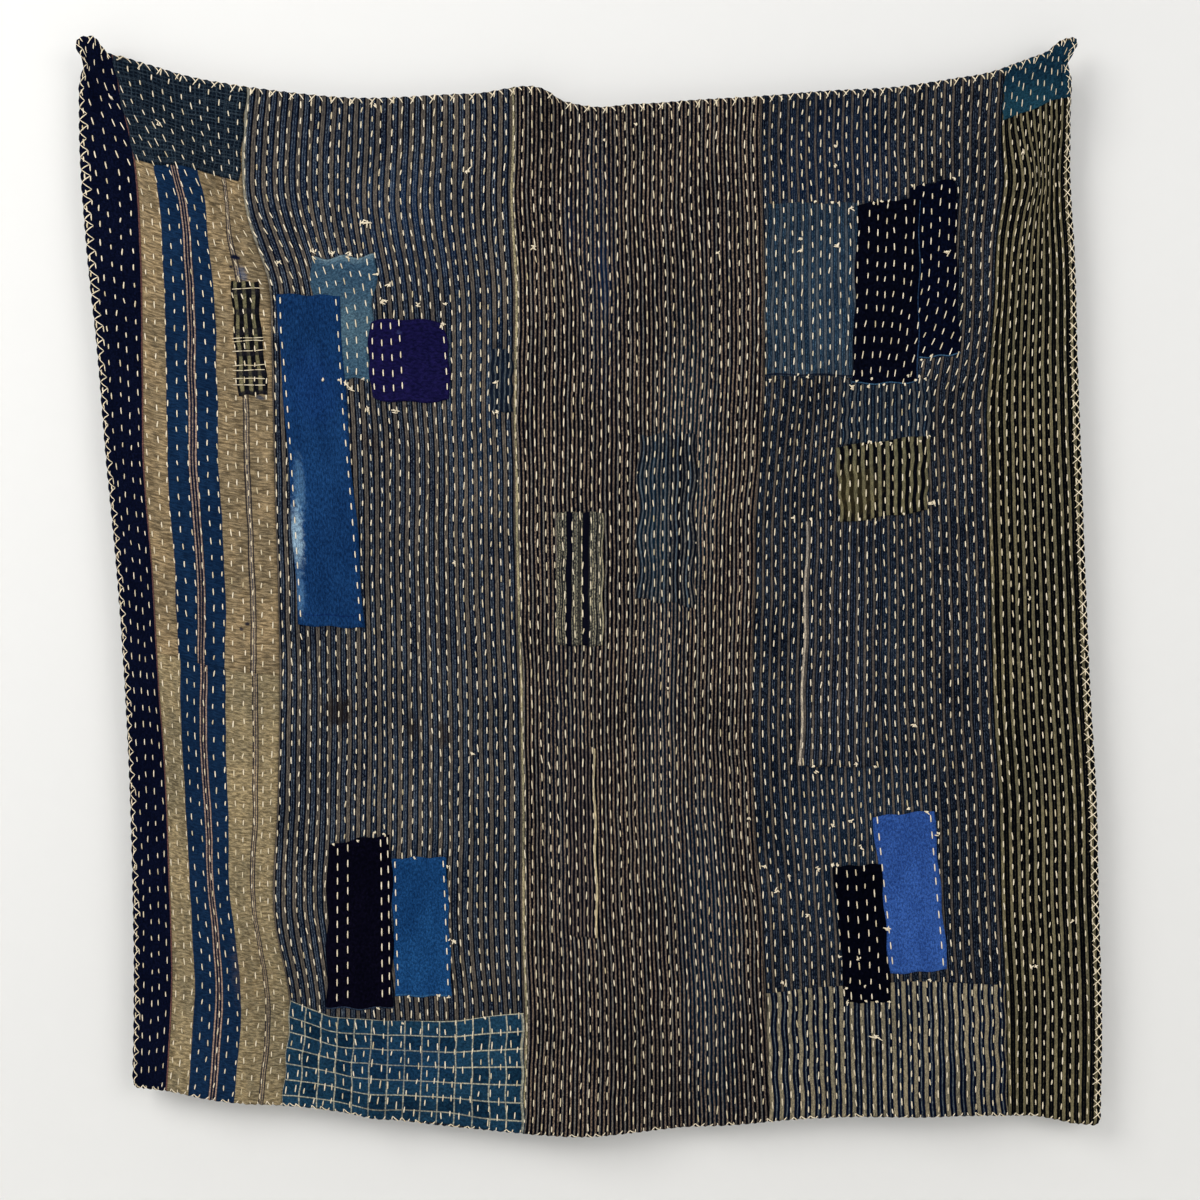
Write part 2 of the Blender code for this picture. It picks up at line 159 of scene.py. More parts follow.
# Folds as lines on the hung cloth. A rise is how far a fold stands towards the front at its start, middle
# and end, and a fold with a negative rise is a furrow. All in mm.
Fold = namedtuple("Fold", "name start_x start_z end_x end_z reach start_rise middle_rise end_rise")
FOLDS = (
    Fold("left swag at the corner", -594, 56, -457, -109, 24, 12, 17, 16),
    Fold("left swag furrow", -545, 44, -420, -105, 18, -3, -8, -4),
    Fold("left swag below it", -457, -109, -367, -301, 30, 15, 14, 10),
    Fold("left swag tail", -367, -301, -111, -595, 50, 10, 9, 2),
    Fold("right swag at the corner", 648, 52, 605, -122, 24, 12, 16, 14),
    Fold("right swag furrow", 612, 40, 560, -110, 20, -3, -7, -3),
    Fold("right swag below it", 605, -122, 516, -352, 32, 13, 12, 9),
    Fold("right swag tail", 516, -352, 388, -595, 45, 9, 7, 2),
    Fold("second right swag", 445, -224, 298, -378, 32, 3, 9, 9),
    Fold("second right swag tail", 298, -378, 170, -634, 40, 9, 8, 2),
    Fold("pinch under the middle pin", 0, -3, -5, -300, 16, -10, -7, -1),
    Fold("ridge left of the pinch", -28, -6, -73, -300, 20, 5, 5, 1),
    Fold("ridge right of the pinch", 30, -14, 81, -300, 22, 6, 5, 1),
    Fold("bow of the left strips", -524, -416, -508, -774, 24, 1, 8, 3),
    Fold("kink by the check patch", -378, -979, -329, -1158, 24, 2, 10, 6),
    Fold("crease of the check patch", -303, -1139, -233, -1299, 22, 4, 9, 9),
    Fold("wrinkle over the black patch", -291, -851, -207, -979, 22, 1, 6, 1),
    Fold("bend of the selvedge patch", 330, -595, 305, -774, 22, 1, 6, 1),
    Fold("left foot wave", -440, -1080, -450, -1280, 40, 0, 5, 9),
    Fold("middle foot wave", 55, -1010, 42, -1331, 62, 0, 6, 11),
    Fold("furrow of the foot", 160, -1060, 165, -1324, 44, 0, -4, -8),
    Fold("right foot wave", 477, -1005, 490, -1306, 60, 0, 6, 11),
    Fold("right foot furrow", 610, -1080, 618, -1310, 34, 0, -4, -8),
    Fold("belly of the left half", -291, -416, -291, -1030, 170, 8, 14, 8),
    Fold("belly of the right half", 375, -416, 401, -1030, 180, 8, 14, 8),
)

# Finer creases, too small for the solids
CREASES = (
    Fold("corner pleat left", -606, 62, -592, -60, 6, 2, 4, 0),
    Fold("corner furrow left", -603, 62, -574, -50, 5, -3, -4, 0),
    Fold("corner pleat left, inner", -598, 60, -550, -45, 6, 3, 5, 0),
    Fold("corner furrow left, inner", -595, 60, -530, -20, 5, -3, -4, 0),
    Fold("corner pleat left, upper", -592, 58, -510, 5, 6, 3, 3, 0),
    Fold("corner neck left", -612, 40, -586, 46, 6, -3, -4, -2),
    Fold("drag line on the plaid", -548, 20, -470, -90, 6, -1, -3, -1),
    Fold("second drag line on the plaid", -520, 20, -452, -80, 7, 1, 2, 0),
    Fold("drag line under the plaid", -450, -100, -400, -210, 7, -2, -3, -1),
    Fold("drag line on the tan", -400, -205, -372, -330, 8, -1, -2, 0),
    Fold("first line in the left grey", -350, -160, -290, -330, 8, 0, -2, 0),
    Fold("crease of the long blue patch", -325, -290, -255, -450, 7, 1, 3, 0),
    Fold("second crease of the long blue patch", -330, -330, -300, -420, 8, 0, -2, 0),
    Fold("corner pleat right", 658, 62, 646, -60, 6, 2, 4, 0),
    Fold("corner furrow right", 654, 62, 628, -50, 5, -3, -4, 0),
    Fold("corner pleat right, inner", 650, 60, 606, -40, 6, 3, 5, 0),
    Fold("corner furrow right, inner", 645, 58, 590, -15, 5, -3, -3, 0),
    Fold("corner pleat right, upper", 640, 58, 575, 5, 6, 2, 3, 0),
    Fold("corner neck right", 664, 38, 636, 44, 6, -2, -3, -1),
    Fold("drag line on the olive", 600, -60, 570, -200, 7, -2, -3, 0),
    Fold("second drag line on the olive", 575, -150, 535, -310, 7, -1, -3, 0),
    Fold("line over the right grey", 505, -330, 440, -470, 8, 0, -2, 0),
    Fold("line left of the navy patches", 395, -190, 345, -330, 7, 0, -2, 0),
    Fold("short pull by the middle pin", -14, -8, -40, -110, 6, 2, 2, 0),
    Fold("short pull right of the pin", 14, -12, 34, -110, 6, 2, 2, 0),
    Fold("dent under the purple patch", -240, -400, -190, -520, 9, 0, -2, 0),
    Fold("dent beside the dark band", -20, -540, 10, -700, 9, 0, -1.5, 0),
    Fold("dent by the left bow", -470, -560, -455, -800, 9, 0, -2, 0),
    Fold("ripple over the left foot", -410, -1150, -395, -1285, 9, 0, 2, 3),
    Fold("ripple in the middle foot", -20, -1180, -30, -1325, 10, 0, 2, 3),
    Fold("ripple in the right foot", 330, -1180, 340, -1305, 10, 0, 2, 3),
    Fold("ripple of the olive foot", 655, -1100, 660, -1315, 9, 0, 2, 3),
    Fold("sag under the near-black patch", -290, -1160, -215, -1190, 9, 0, 2, 0),
    Fold("pull at the bright blue patch", 400, -915, 350, -980, 9, 0, 2, 0),
)

# Places where the hung cloth is drawn aside, in mm: what lies there has moved right and up
Draw = namedtuple("Draw", "name x z reach_x reach_z right up")
DRAWS = (
    Draw("neck of the left corner", -616, 38, 17, 17, 10, 0),
    Draw("neck of the right corner", 661, 36, 17, 18, -9, 0),
    Draw("behind the left knob", -573, 55, 13, 16, 0, -7),
    Draw("behind the right knob", 628, 58, 14, 14, 0, -3),
    Draw("top of the blue band", -452, -132, 40, 56, 12, 0),
    Draw("left swag draws the stripes in", -345, -250, 60, 110, 10, 0),
    Draw("lines by the tan strip", -440, -830, 45, 130, -9, 0),
    Draw("right swag draws the stripes in", 560, -190, 55, 110, -9, 0),
    Draw("left of the right furrow", 592, -110, 22, 62, 7, 0),
    Draw("right of the right furrow", 642, -110, 26, 70, -7, 0),
    Draw("tip of the left knob", -598, 72, 14, 14, 5, 5),
    Draw("below the right swag", 480, -400, 60, 90, -7, 0),
    Draw("under the purple patch", -200, -470, 80, 90, 6, 0),
    Draw("middle of the brown width", 90, -560, 90, 200, 4, 0),
)

# Places where stitches lie askew: a lean is how far right they run for each mm down
Lean = namedtuple("Lean", "name x z reach_x reach_z lean")
LEANS = (
    Lean("over the left swag", -500, -58, 62, 50, 0.5),
    Lean("below the left corner", -560, -8, 45, 60, 0.28),
    Lean("by the top hem", -500, 30, 90, 26, -0.34),
    Lean("down the left swag", -400, -190, 50, 70, 0.28),
    Lean("along the left swag tail", -320, -300, 60, 80, 0.2),
    Lean("below the right corner", 590, -60, 60, 60, -0.22),
    Lean("down the right swag", 505, -340, 70, 100, -0.3),
    Lean("crease of the check patch", -268, -1200, 34, 40, 0.3),
)

SEAMS = ("left_edge", "navy_seam", "tan_seam", "pale_seam", "brown_seam", "olive_seam", "right_edge")

# Sewn patches, each by its corners as they hang, clockwise from the top left, in mm. The first few corners
# make its top side. A level is how many patches lie under it.
Patch = namedtuple("Patch", "name top_corners level corners")
PATCHES = (
    Patch("plaid_corner_patch", 2, 0, ((-566, 90), (-397, 40), (-407, -111), (-541, -83))),
    Patch("teal_corner_patch", 2, 0, ((573, 80), (700, 110), (700, -4), (571, -30))),
    Patch("darned_patch", 2, 0, ((-415, -241), (-379, -242), (-368, -384), (-407, -385))),
    Patch("faded_teal_patch", 2, 0, ((-316, -209), (-230, -205), (-240, -365), (-303, -366))),
    Patch("long_blue_patch", 2, 1, ((-356, -256), (-278, -257), (-244, -682), (-329, -678))),
    Patch("purple_patch", 2, 1, ((-242, -287), (-142, -288), (-134, -394), (-237, -393))),
    Patch("shadow_stripe_patch", 2, 0, ((-85, -325), (-56, -325), (-57, -406), (-87, -406))),
    Patch("dark_band_patch", 2, 0, ((0, -533), (59, -534), (59, -705), (-1, -704))),
    Patch("blue_line_patch", 2, 0, ((104, -434), (180, -435), (175, -655), (102, -644))),
    Patch("narrow_brown_patch", 2, 0, ((14, -835), (49, -836), (54, -1078), (15, -1076))),
    Patch("faded_stripe_patch", 2, 0, ((267, -138), (390, -138), (390, -362), (266, -362))),
    Patch("faded_stripe_offcut", 2, 0, ((361, -364), (477, -364), (477, -442), (360, -449))),
    Patch("navy_patch_right", 2, 0, ((451, -118), (511, -106), (512, -335), (461, -339))),
    Patch("navy_patch_left", 2, 1, ((385, -138), (465, -132), (461, -370), (375, -372))),
    Patch("selvedge_patch", 2, 0, ((317, -545), (413, -545), (411, -858), (308, -858))),
    Patch("olive_patch", 2, 1, ((355, -451), (475, -436), (471, -532), (361, -548))),
    Patch(
        "check_patch",
        5,
        0,
        (
            (-340, -1157), (-290, -1175), (-219, -1185), (-125, -1183), (-42, -1175),
            (-42, -1360), (-352, -1340),
        ),
    ),
    Patch(
        "striped_corner_patch",
        3,
        0,
        ((267, -1148), (439, -1132), (573, -1137), (577, -1350), (272, -1350)),
    ),
    Patch("mid_blue_patch", 2, 0, ((-211, -975), (-141, -974), (-134, -1153), (-207, -1153))),
    Patch("near_black_patch", 2, 1, ((-292, -957), (-211, -943), (-209, -1169), (-294, -1167))),
    Patch("bright_blue_patch", 2, 1, ((402, -922), (481, -914), (498, -1117), (424, -1123))),
    Patch("dark_navy_patch", 2, 2, ((352, -986), (413, -982), (426, -1158), (369, -1160))),
)
PATCH_GAP = 0.3
PATCH_PILE = 0.7

# Patches that the long stitch rows leave out, with rows of their own at shares of the way across
OwnRows = namedtuple("OwnRows", "patch shares step stitch")
OWN_ROWS = (
    OwnRows("long_blue_patch", (0.05, 0.94), 20.0, 9.0),
    OwnRows("purple_patch", (0.05, 0.17, 0.29, 0.40, 0.96), 20.0, 9.0),
    OwnRows("mid_blue_patch", (0.06, 0.94), 19.0, 9.0),
    OwnRows("near_black_patch", (0.16, 0.32, 0.84, 0.95), 19.0, 10.0),
    OwnRows("bright_blue_patch", (0.07, 0.93), 20.0, 10.0),
)

# Patches whose corners are worn round, by the share that is lost, and patches with a wavy outline, in mm
ROUNDED = {"purple_patch": 0.08, "near_black_patch": 0.03, "navy_patch_left": 0.02, "mid_blue_patch": 0.02}
WAVY = {"faded_teal_patch": 2.6, "near_black_patch": 1.8, "blue_line_patch": 2.4}

# Patches with knots left along their top and foot edges, and the share of the rows that end in one
KNOTTED = {
    "faded_teal_patch": 0.5,
    "navy_patch_left": 0.6,
    "navy_patch_right": 0.45,
    "near_black_patch": 0.3,
    "dark_navy_patch": 0.3,
    "mid_blue_patch": 0.35,
    "check_patch": 0.15,
    "striped_corner_patch": 0.2,
    "faded_stripe_patch": 0.3,
    "faded_stripe_offcut": 0.3,
    "olive_patch": 0.2,
    "selvedge_patch": 0.25,
    "plaid_corner_patch": 0.12,
}

# Heights of the pale threads that darn the small dark patch, and where they begin and end
DARNING_HEIGHTS = (-250, -313, -317, -329, -347, -353, -364, -372)
DARNING_FROM = -414
DARNING_TO = -371
DARNING_PIECES = 3

# Loose knots and thread ends, in mm right of and above the middle pin, and their spread
KNOTS = (
    (-113, -97, 9), (-248, -164, 16), (-311, -200, 11), (-287, -202, 11), (-265, -204, 9), (355, -65, 7),
    (356, -91, 7), (310, -184, 7), (311, -200, 9), (358, -193, 9), (376, -145, 9), (204, -202, 6),
    (101, -38, 6), (61, -58, 5), (498, -201, 13), (595, -74, 9), (636, -116, 6), (-145, -294, 11),
    (-268, -370, 11), (-131, -599, 7), (-108, -842, 7), (-140, -986, 6), (-131, -1082, 10), (142, -759, 6),
    (244, -925, 6), (381, -854, 7), (330, -864, 6), (351, -983, 7), (384, -1103, 8), (360, -1101, 7),
    (612, -1114, 7), (659, -1056, 7), (480, -522, 14), (302, -541, 6), (376, -375, 9), (604, -643, 6),
    (408, -1203, 15), (-505, -40, 10), (-262, -377, 10), (-240, -405, 9),
    (351, -934, 8), (375, -928, 7), (388, -961, 7), (333, -989, 8), (265, -987, 7), (280, -1018, 9),
    (296, -997, 7), (421, -1065, 8), (370, -1160, 7), (424, -1158, 7), (289, -1135, 9), (448, -911, 7),
    (472, -916, 8), (485, -943, 7), (454, -806, 8), (-357, -214, 9), (-568, -6, 8), (-233, -14, 8),
    (-230, -230, 8), (-223, -265, 10), (-219, -264, 8), (-215, -244, 9), (-178, -270, 8), (-142, -267, 7),
    (-206, -405, 10), (-78, -367, 7), (-77, -405, 9), (-29, -195, 9), (320, -1048, 7), (606, -1115, 9),
)

# Woven bars: repeat is the distance to the next, or 0 for a single line. Sizes in mm, colours as seen.
Bar = namedtuple("Bar", "repeat middle width soft wander broken colour")
# Soft-edged places of another colour, by their middle and reach on the flat piece
Spot = namedtuple("Spot", "across down reach_across reach_down strength colour")
# A cloth has a ground, a second shade in its streaks, how far the streaks run along and across, its woven
# bars, spots on top of them and tints of the ground below them
Cloth = namedtuple("Cloth", "ground streak run_along run_across bars spots tints", defaults=((),))

NAVY_BARS = (Bar(0, 59.0, 1.6, 0.4, 0.3, 0.2, (120, 84, 76)),)
TAN_UPPER_BARS = (
    Bar(0, 60.5, 64.0, 0.5, 1.2, 0.0, (15, 36, 62)),
    Bar(0, 61.0, 11.6, 0.4, 1.0, 0.1, (8, 14, 34)),
    Bar(0, 57.0, 1.7, 0.4, 1.0, 0.15, (152, 130, 114)),
    Bar(0, 61.0, 1.4, 0.4, 1.0, 0.4, (128, 112, 100)),
    Bar(0, 65.0, 1.7, 0.4, 1.0, 0.15, (152, 130, 114)),
    Bar(0, 127.0, 7.4, 0.4, 1.0, 0.3, (152, 136, 112)),
    Bar(0, 124.0, 1.9, 0.4, 1.0, 0.15, (20, 21, 32)),
    Bar(0, 127.0, 1.5, 0.4, 1.0, 0.3, (40, 46, 66)),
    Bar(0, 130.0, 1.9, 0.4, 1.0, 0.15, (20, 21, 32)),
)
TAN_LOWER_BARS = (
    Bar(0, 62.5, 63.0, 0.5, 1.2, 0.0, (15, 35, 60)),
    Bar(0, 65.0, 11.2, 0.4, 1.0, 0.1, (8, 14, 34)),
    Bar(0, 61.0, 1.7, 0.4, 1.0, 0.15, (152, 130, 114)),
    Bar(0, 65.0, 1.4, 0.4, 1.0, 0.4, (128, 112, 100)),
    Bar(0, 69.0, 1.7, 0.4, 1.0, 0.15, (152, 130, 114)),
    Bar(0, 129.5, 7.4, 0.4, 1.0, 0.4, (150, 132, 104)),
    Bar(0, 126.6, 1.8, 0.4, 1.0, 0.1, (22, 24, 38)),
    Bar(0, 129.5, 1.6, 0.4, 1.0, 0.3, (34, 40, 58)),
    Bar(0, 132.4, 1.8, 0.4, 1.0, 0.1, (22, 24, 38)),
)
GREY_LEFT_BARS = (
    Bar(12.6, 0.0, 6.8, 0.4, 0.6, 0.2, (1, 3, 10)),
    Bar(12.6, 0.0, 4.2, 0.4, 0.6, 0.35, (98, 91, 82)),
    Bar(12.6, 0.0, 0.8, 0.3, 0.6, 0.6, (24, 24, 28)),
    Bar(12.6, 4.9, 1.2, 0.4, 0.6, 0.7, (86, 96, 106)),
    Bar(12.6, 7.4, 1.2, 0.4, 0.6, 0.7, (78, 90, 104)),
)
BROWN_BARS = (
    Bar(5.1, 0.0, 1.8, 0.45, 1.0, 0.6, (128, 112, 97)),
    Bar(15.3, 5.1, 1.4, 0.45, 1.0, 0.6, (104, 104, 100)),
    Bar(0, 2.0, 2.6, 0.5, 0.6, 0.5, (168, 158, 124)),
)
GREY_RIGHT_BARS = (
    Bar(11.4, 0.0, 2.6, 0.45, 0.6, 0.4, (86, 79, 71)),
    Bar(11.4, 3.8, 1.0, 0.4, 0.6, 0.85, (64, 74, 88)),
    Bar(11.4, 6.2, 1.0, 0.4, 0.6, 0.85, (58, 70, 86)),
    Bar(11.4, 8.4, 0.9, 0.4, 0.6, 0.9, (52, 64, 80)),
)
OLIVE_BARS = (
    Bar(10.4, 3.0, 3.7, 0.4, 0.4, 0.3, (110, 103, 78)),
    Bar(10.4, 8.2, 0.9, 0.4, 0.4, 0.9, (46, 44, 34)),
)
CLOTHS = {
    "navy_strip": Cloth((3, 6, 21), (8, 13, 34), 3.0, 3.0, NAVY_BARS, ()),
    "tan_width_upper": Cloth(
        (146, 128, 98), (98, 84, 62), 3.0, 14.0,
        TAN_UPPER_BARS,
        (
            Spot(129, 234, 7.5, 5, 1.0, (16, 20, 38)),
            Spot(120, 248, 3, 3, 1.0, (24, 24, 36)),
            Spot(133, 256, 6, 12, 0.6, (52, 74, 104)),
            Spot(145, 415, 6, 4, 0.8, (36, 52, 72)),
            Spot(120, 716, 4, 3, 0.9, (26, 28, 42)),
            Spot(112, 724, 3, 3, 0.9, (26, 28, 42)),
        ),
    ),
    "tan_width_lower": Cloth(
        (146, 132, 102), (104, 92, 68), 3.0, 10.0,
        TAN_LOWER_BARS,
        (Spot(112, 1180, 30, 60, 0.2, (110, 92, 66)),),
    ),
    "grey_width_left": Cloth(
        (4, 7, 18), (13, 20, 36), 16.0, 1.2,
        GREY_LEFT_BARS,
        (
            Spot(73, 818, 22, 24, 0.75, (26, 22, 22)),
            Spot(166, 832, 12, 22, 0.6, (28, 24, 24)),
            Spot(206, 836, 14, 20, 0.6, (28, 24, 24)),
            Spot(121, 458, 12, 12, 0.6, (24, 22, 26)),
            Spot(1.6, 60, 2.6, 230, 0.9, (140, 136, 120)),
        ),
        (
            Spot(190, 170, 80, 110, 0.5, (16, 40, 70)),
            Spot(90, 130, 90, 150, 0.4, (10, 28, 50)),
            Spot(250, 400, 50, 180, 0.5, (18, 40, 64)),
            Spot(200, 930, 90, 190, 0.3, (16, 32, 52)),
            Spot(60, 1150, 60, 140, 0.3, (14, 28, 46)),
        ),
    ),
    "brown_width": Cloth(
        (1, 3, 10), (7, 9, 18), 14.0, 1.0,
        BROWN_BARS,
        (
            Spot(110, 225, 10, 60, 0.35, (14, 36, 66)),
            Spot(72, 160, 8, 50, 0.3, (12, 30, 56)),
        ),
        (
            Spot(215, 480, 50, 230, 0.4, (12, 34, 50)),
            Spot(185, 800, 34, 300, 0.35, (10, 28, 44)),
            Spot(240, 1120, 44, 260, 0.5, (8, 32, 52)),
            Spot(105, 200, 30, 200, 0.35, (10, 28, 50)),
            Spot(60, 900, 40, 260, 0.3, (8, 22, 38)),
        ),
    ),
    "grey_width_right": Cloth(
        (1, 3, 10), (9, 15, 27), 16.0, 1.2,
        GREY_RIGHT_BARS,
        (
            Spot(190, 480, 90, 120, 0.2, (26, 24, 26)),
        ),
        (
            Spot(90, 110, 100, 130, 0.6, (7, 22, 44)),
            Spot(170, 330, 90, 60, 0.6, (9, 25, 46)),
            Spot(120, 1000, 120, 160, 0.4, (14, 32, 50)),
            Spot(150, 690, 90, 140, 0.3, (12, 28, 44)),
        ),
    ),
    "olive_strip": Cloth((0, 1, 4), (4, 5, 9), 16.0, 1.2, OLIVE_BARS, ()),
    "plaid_corner_patch": Cloth(
        (13, 23, 34), (7, 13, 22), 3.0, 3.0,
        (Bar(5.2, 0.0, 1.4, 0.5, 0.4, 0.6, (38, 50, 60)), Bar(13.0, 2.0, 1.2, 0.4, 0.4, 0.6, (50, 60, 68))),
        (),
    ),
    "teal_corner_patch": Cloth(
        (14, 38, 54), (22, 50, 66), 4.0, 4.0, (), (Spot(24, 66, 60, 40, 0.5, (32, 70, 84)),)
    ),
    "darned_patch": Cloth(
        (7, 9, 14), (18, 18, 22), 4.0, 3.0,
        (Bar(11.5, 6.0, 4.6, 0.6, 0.4, 0.2, (112, 106, 78)),),
        (),
    ),
    "faded_teal_patch": Cloth(
        (46, 71, 90), (58, 84, 102), 4.0, 4.0,
        (),
        (Spot(40, 4, 50, 6, 0.5, (96, 120, 132)), Spot(50, 90, 40, 50, 0.35, (84, 108, 116))),
    ),
    "long_blue_patch": Cloth(
        (15, 43, 80), (21, 54, 96), 7.0, 2.5,
        (),
        (
            Spot(6, 310, 10, 48, 0.65, (140, 168, 186)),
            Spot(12, 250, 9, 50, 0.3, (96, 138, 172)),
            Spot(4, 380, 8, 40, 0.35, (90, 132, 170)),
            Spot(40, 120, 40, 60, 0.3, (14, 40, 92)),
        ),
    ),
    "purple_patch": Cloth(
        (21, 18, 60), (17, 16, 52), 4.0, 8.0, (), (Spot(40, 16, 5, 3, 0.5, (60, 66, 110)),)
    ),
    "shadow_stripe_patch": Cloth(
        (8, 14, 27), (19, 30, 44), 14.0, 1.2, (Bar(6.4, 0.0, 2.0, 0.5, 0.4, 0.4, (78, 84, 86)),), ()
    ),
    "dark_band_patch": Cloth(
        (5, 8, 16), (46, 48, 48), 2.2, 1.2,
        (
            Bar(2.9, 0.0, 1.3, 0.3, 0.4, 0.85, (168, 160, 132)),
            Bar(4.7, 1.5, 1.2, 0.3, 0.4, 0.8, (120, 116, 104)),
            Bar(11.0, 7.5, 2.2, 0.4, 0.5, 0.3, (12, 14, 22)),
            Bar(0, 58.6, 1.8, 0.5, 0.5, 0.4, (176, 166, 134)),
            Bar(0, 16.0, 8.0, 0.6, 0.5, 0.0, (8, 9, 20)),
            Bar(0, 37.0, 8.0, 0.6, 0.5, 0.0, (8, 9, 20)),
        ),
        (),
    ),
    "blue_line_patch": Cloth(
        (4, 7, 16), (12, 18, 28), 14.0, 1.2,
        (
            Bar(5.0, 0.0, 1.8, 0.6, 0.8, 0.5, (100, 98, 94)),
            Bar(15.0, 5.0, 1.6, 0.6, 0.8, 0.5, (70, 86, 98)),
            Bar(0, 54.0, 2.4, 0.5, 0.5, 0.1, (3, 4, 12)),
        ),
        (),
        (Spot(22, 110, 24, 130, 0.5, (10, 34, 50)),),
    ),
    "narrow_brown_patch": Cloth(
        (4, 6, 14), (12, 13, 22), 14.0, 1.2,
        (
            Bar(4.8, 0.0, 1.7, 0.5, 0.5, 0.4, (104, 92, 84)),
            Bar(0, 34.6, 2.4, 0.5, 0.3, 0.25, (196, 180, 144)),
        ),
        (),
    ),
    "faded_stripe_patch": Cloth(
        (4, 11, 23), (17, 30, 47), 16.0, 1.2,
        (
            Bar(9.4, 0.0, 3.2, 0.45, 0.5, 0.35, (76, 83, 88)),
            Bar(9.4, 3.6, 1.2, 0.6, 0.5, 0.7, (60, 86, 106)),
            Bar(9.4, 5.9, 1.2, 0.6, 0.5, 0.7, (60, 80, 96)),
        ),
        (),
        (Spot(80, 120, 60, 120, 0.3, (26, 48, 70)),),
    ),
    "faded_stripe_offcut": Cloth(
        (4, 9, 20), (15, 25, 40), 16.0, 1.2,
        (
            Bar(9.4, 0.0, 3.0, 0.7, 0.5, 0.3, (76, 78, 78)),
            Bar(9.4, 4.4, 1.2, 0.6, 0.5, 0.7, (60, 78, 94)),
        ),
        (),
    ),
    "navy_patch_right": Cloth((1, 3, 15), (4, 8, 25), 5.0, 4.0, (), ()),
    "navy_patch_left": Cloth(
        (1, 2, 11), (5, 7, 20), 5.0, 4.0, (Bar(0, 82.4, 1.3, 0.4, 0.3, 0.3, (44, 70, 104)),), ()
    ),
    "selvedge_patch": Cloth(
        (2, 5, 13), (10, 17, 29), 16.0, 1.2,
        (
            Bar(10.6, 5.0, 2.8, 0.45, 0.5, 0.4, (88, 82, 76)),
            Bar(10.6, 8.6, 1.2, 0.6, 0.5, 0.7, (66, 76, 92)),
            Bar(10.6, 1.4, 1.2, 0.6, 0.5, 0.7, (62, 72, 88)),
            Bar(0, 1.8, 2.8, 0.6, 0.5, 0.35, (176, 164, 146)),
        ),
        (),
    ),
    "olive_patch": Cloth(
        (3, 4, 10), (8, 9, 14), 10.0, 1.6,
        (Bar(10.2, 2.0, 4.3, 0.7, 0.4, 0.1, (108, 102, 76)),),
        (Spot(20, 60, 40, 40, 0.2, (92, 82, 48)),),
    ),
    "check_patch": Cloth(
        (10, 32, 50), (18, 46, 66), 5.0, 5.0,
        (Bar(0, 303.0, 3.2, 0.6, 0.4, 0.1, (150, 146, 124)),),
        (Spot(150, 60, 90, 50, 0.3, (24, 58, 92)), Spot(150, 130, 60, 20, 0.5, (10, 26, 44))),
    ),
    "striped_corner_patch": Cloth(
        (2, 6, 20), (8, 16, 34), 12.0, 1.4,
        (
            Bar(13.2, 3.0, 4.7, 0.5, 0.4, 0.35, (140, 130, 106)),
            Bar(13.2, 9.6, 1.5, 0.4, 0.4, 0.5, (90, 98, 104)),
        ),
        (),
    ),
    "mid_blue_patch": Cloth(
        (19, 56, 98), (26, 68, 114), 5.0, 3.0, (), (Spot(20, 60, 30, 70, 0.3, (12, 44, 84)),)
    ),
    "near_black_patch": Cloth((3, 3, 13), (7, 6, 20), 5.0, 4.0, (), ()),
    "bright_blue_patch": Cloth((40, 72, 136), (48, 82, 146), 5.0, 3.0, (), ()),
    "dark_navy_patch": Cloth((0, 1, 8), (3, 4, 14), 5.0, 4.0, (), ()),
}

# Bars that run across a piece, in the same columns, with middles measured down
CROSS_BARS = {
    "plaid_corner_patch": (
        Bar(5.0, 0.0, 1.4, 0.5, 0.4, 0.5, (40, 52, 62)),
        Bar(12.0, 3.0, 1.2, 0.4, 0.4, 0.5, (52, 62, 70)),
    ),
    "teal_corner_patch": (Bar(0, 76.0, 1.6, 0.5, 0.8, 0.4, (84, 108, 120)),),
    "darned_patch": (
        Bar(0, 142.0, 6.0, 0.8, 0.5, 0.3, (14, 14, 22)),
        Bar(26.0, 12.0, 8.0, 1.0, 0.5, 0.4, (24, 24, 30)),
    ),
    "long_blue_patch": (Bar(0, 410.0, 1.6, 0.6, 0.8, 0.3, (12, 34, 78)),),
    "navy_patch_left": (Bar(0, 234.8, 1.6, 0.4, 0.3, 0.3, (56, 88, 116)),),
    "navy_patch_right": (Bar(0, 223.6, 1.6, 0.4, 0.3, 0.3, (56, 88, 116)),),
    "mid_blue_patch": (Bar(0, 177.0, 2.0, 0.5, 0.6, 0.3, (52, 98, 140)),),
    "near_black_patch": (Bar(0, 217.0, 1.4, 0.4, 0.3, 0.5, (52, 66, 88)),),
    "faded_teal_patch": (Bar(0, 1.2, 2.0, 0.5, 0.6, 0.3, (112, 130, 136)),),
    "faded_stripe_patch": (Bar(0, 222.0, 2.4, 0.6, 0.8, 0.2, (12, 16, 30)),),
}

THREAD_SHAPE = (6, 4)
BACK_THREAD_SHAPE = (4, 3)
COLUMNS_PER_ROW = 3
ROW_OFFSET = 1.0 / COLUMNS_PER_ROW


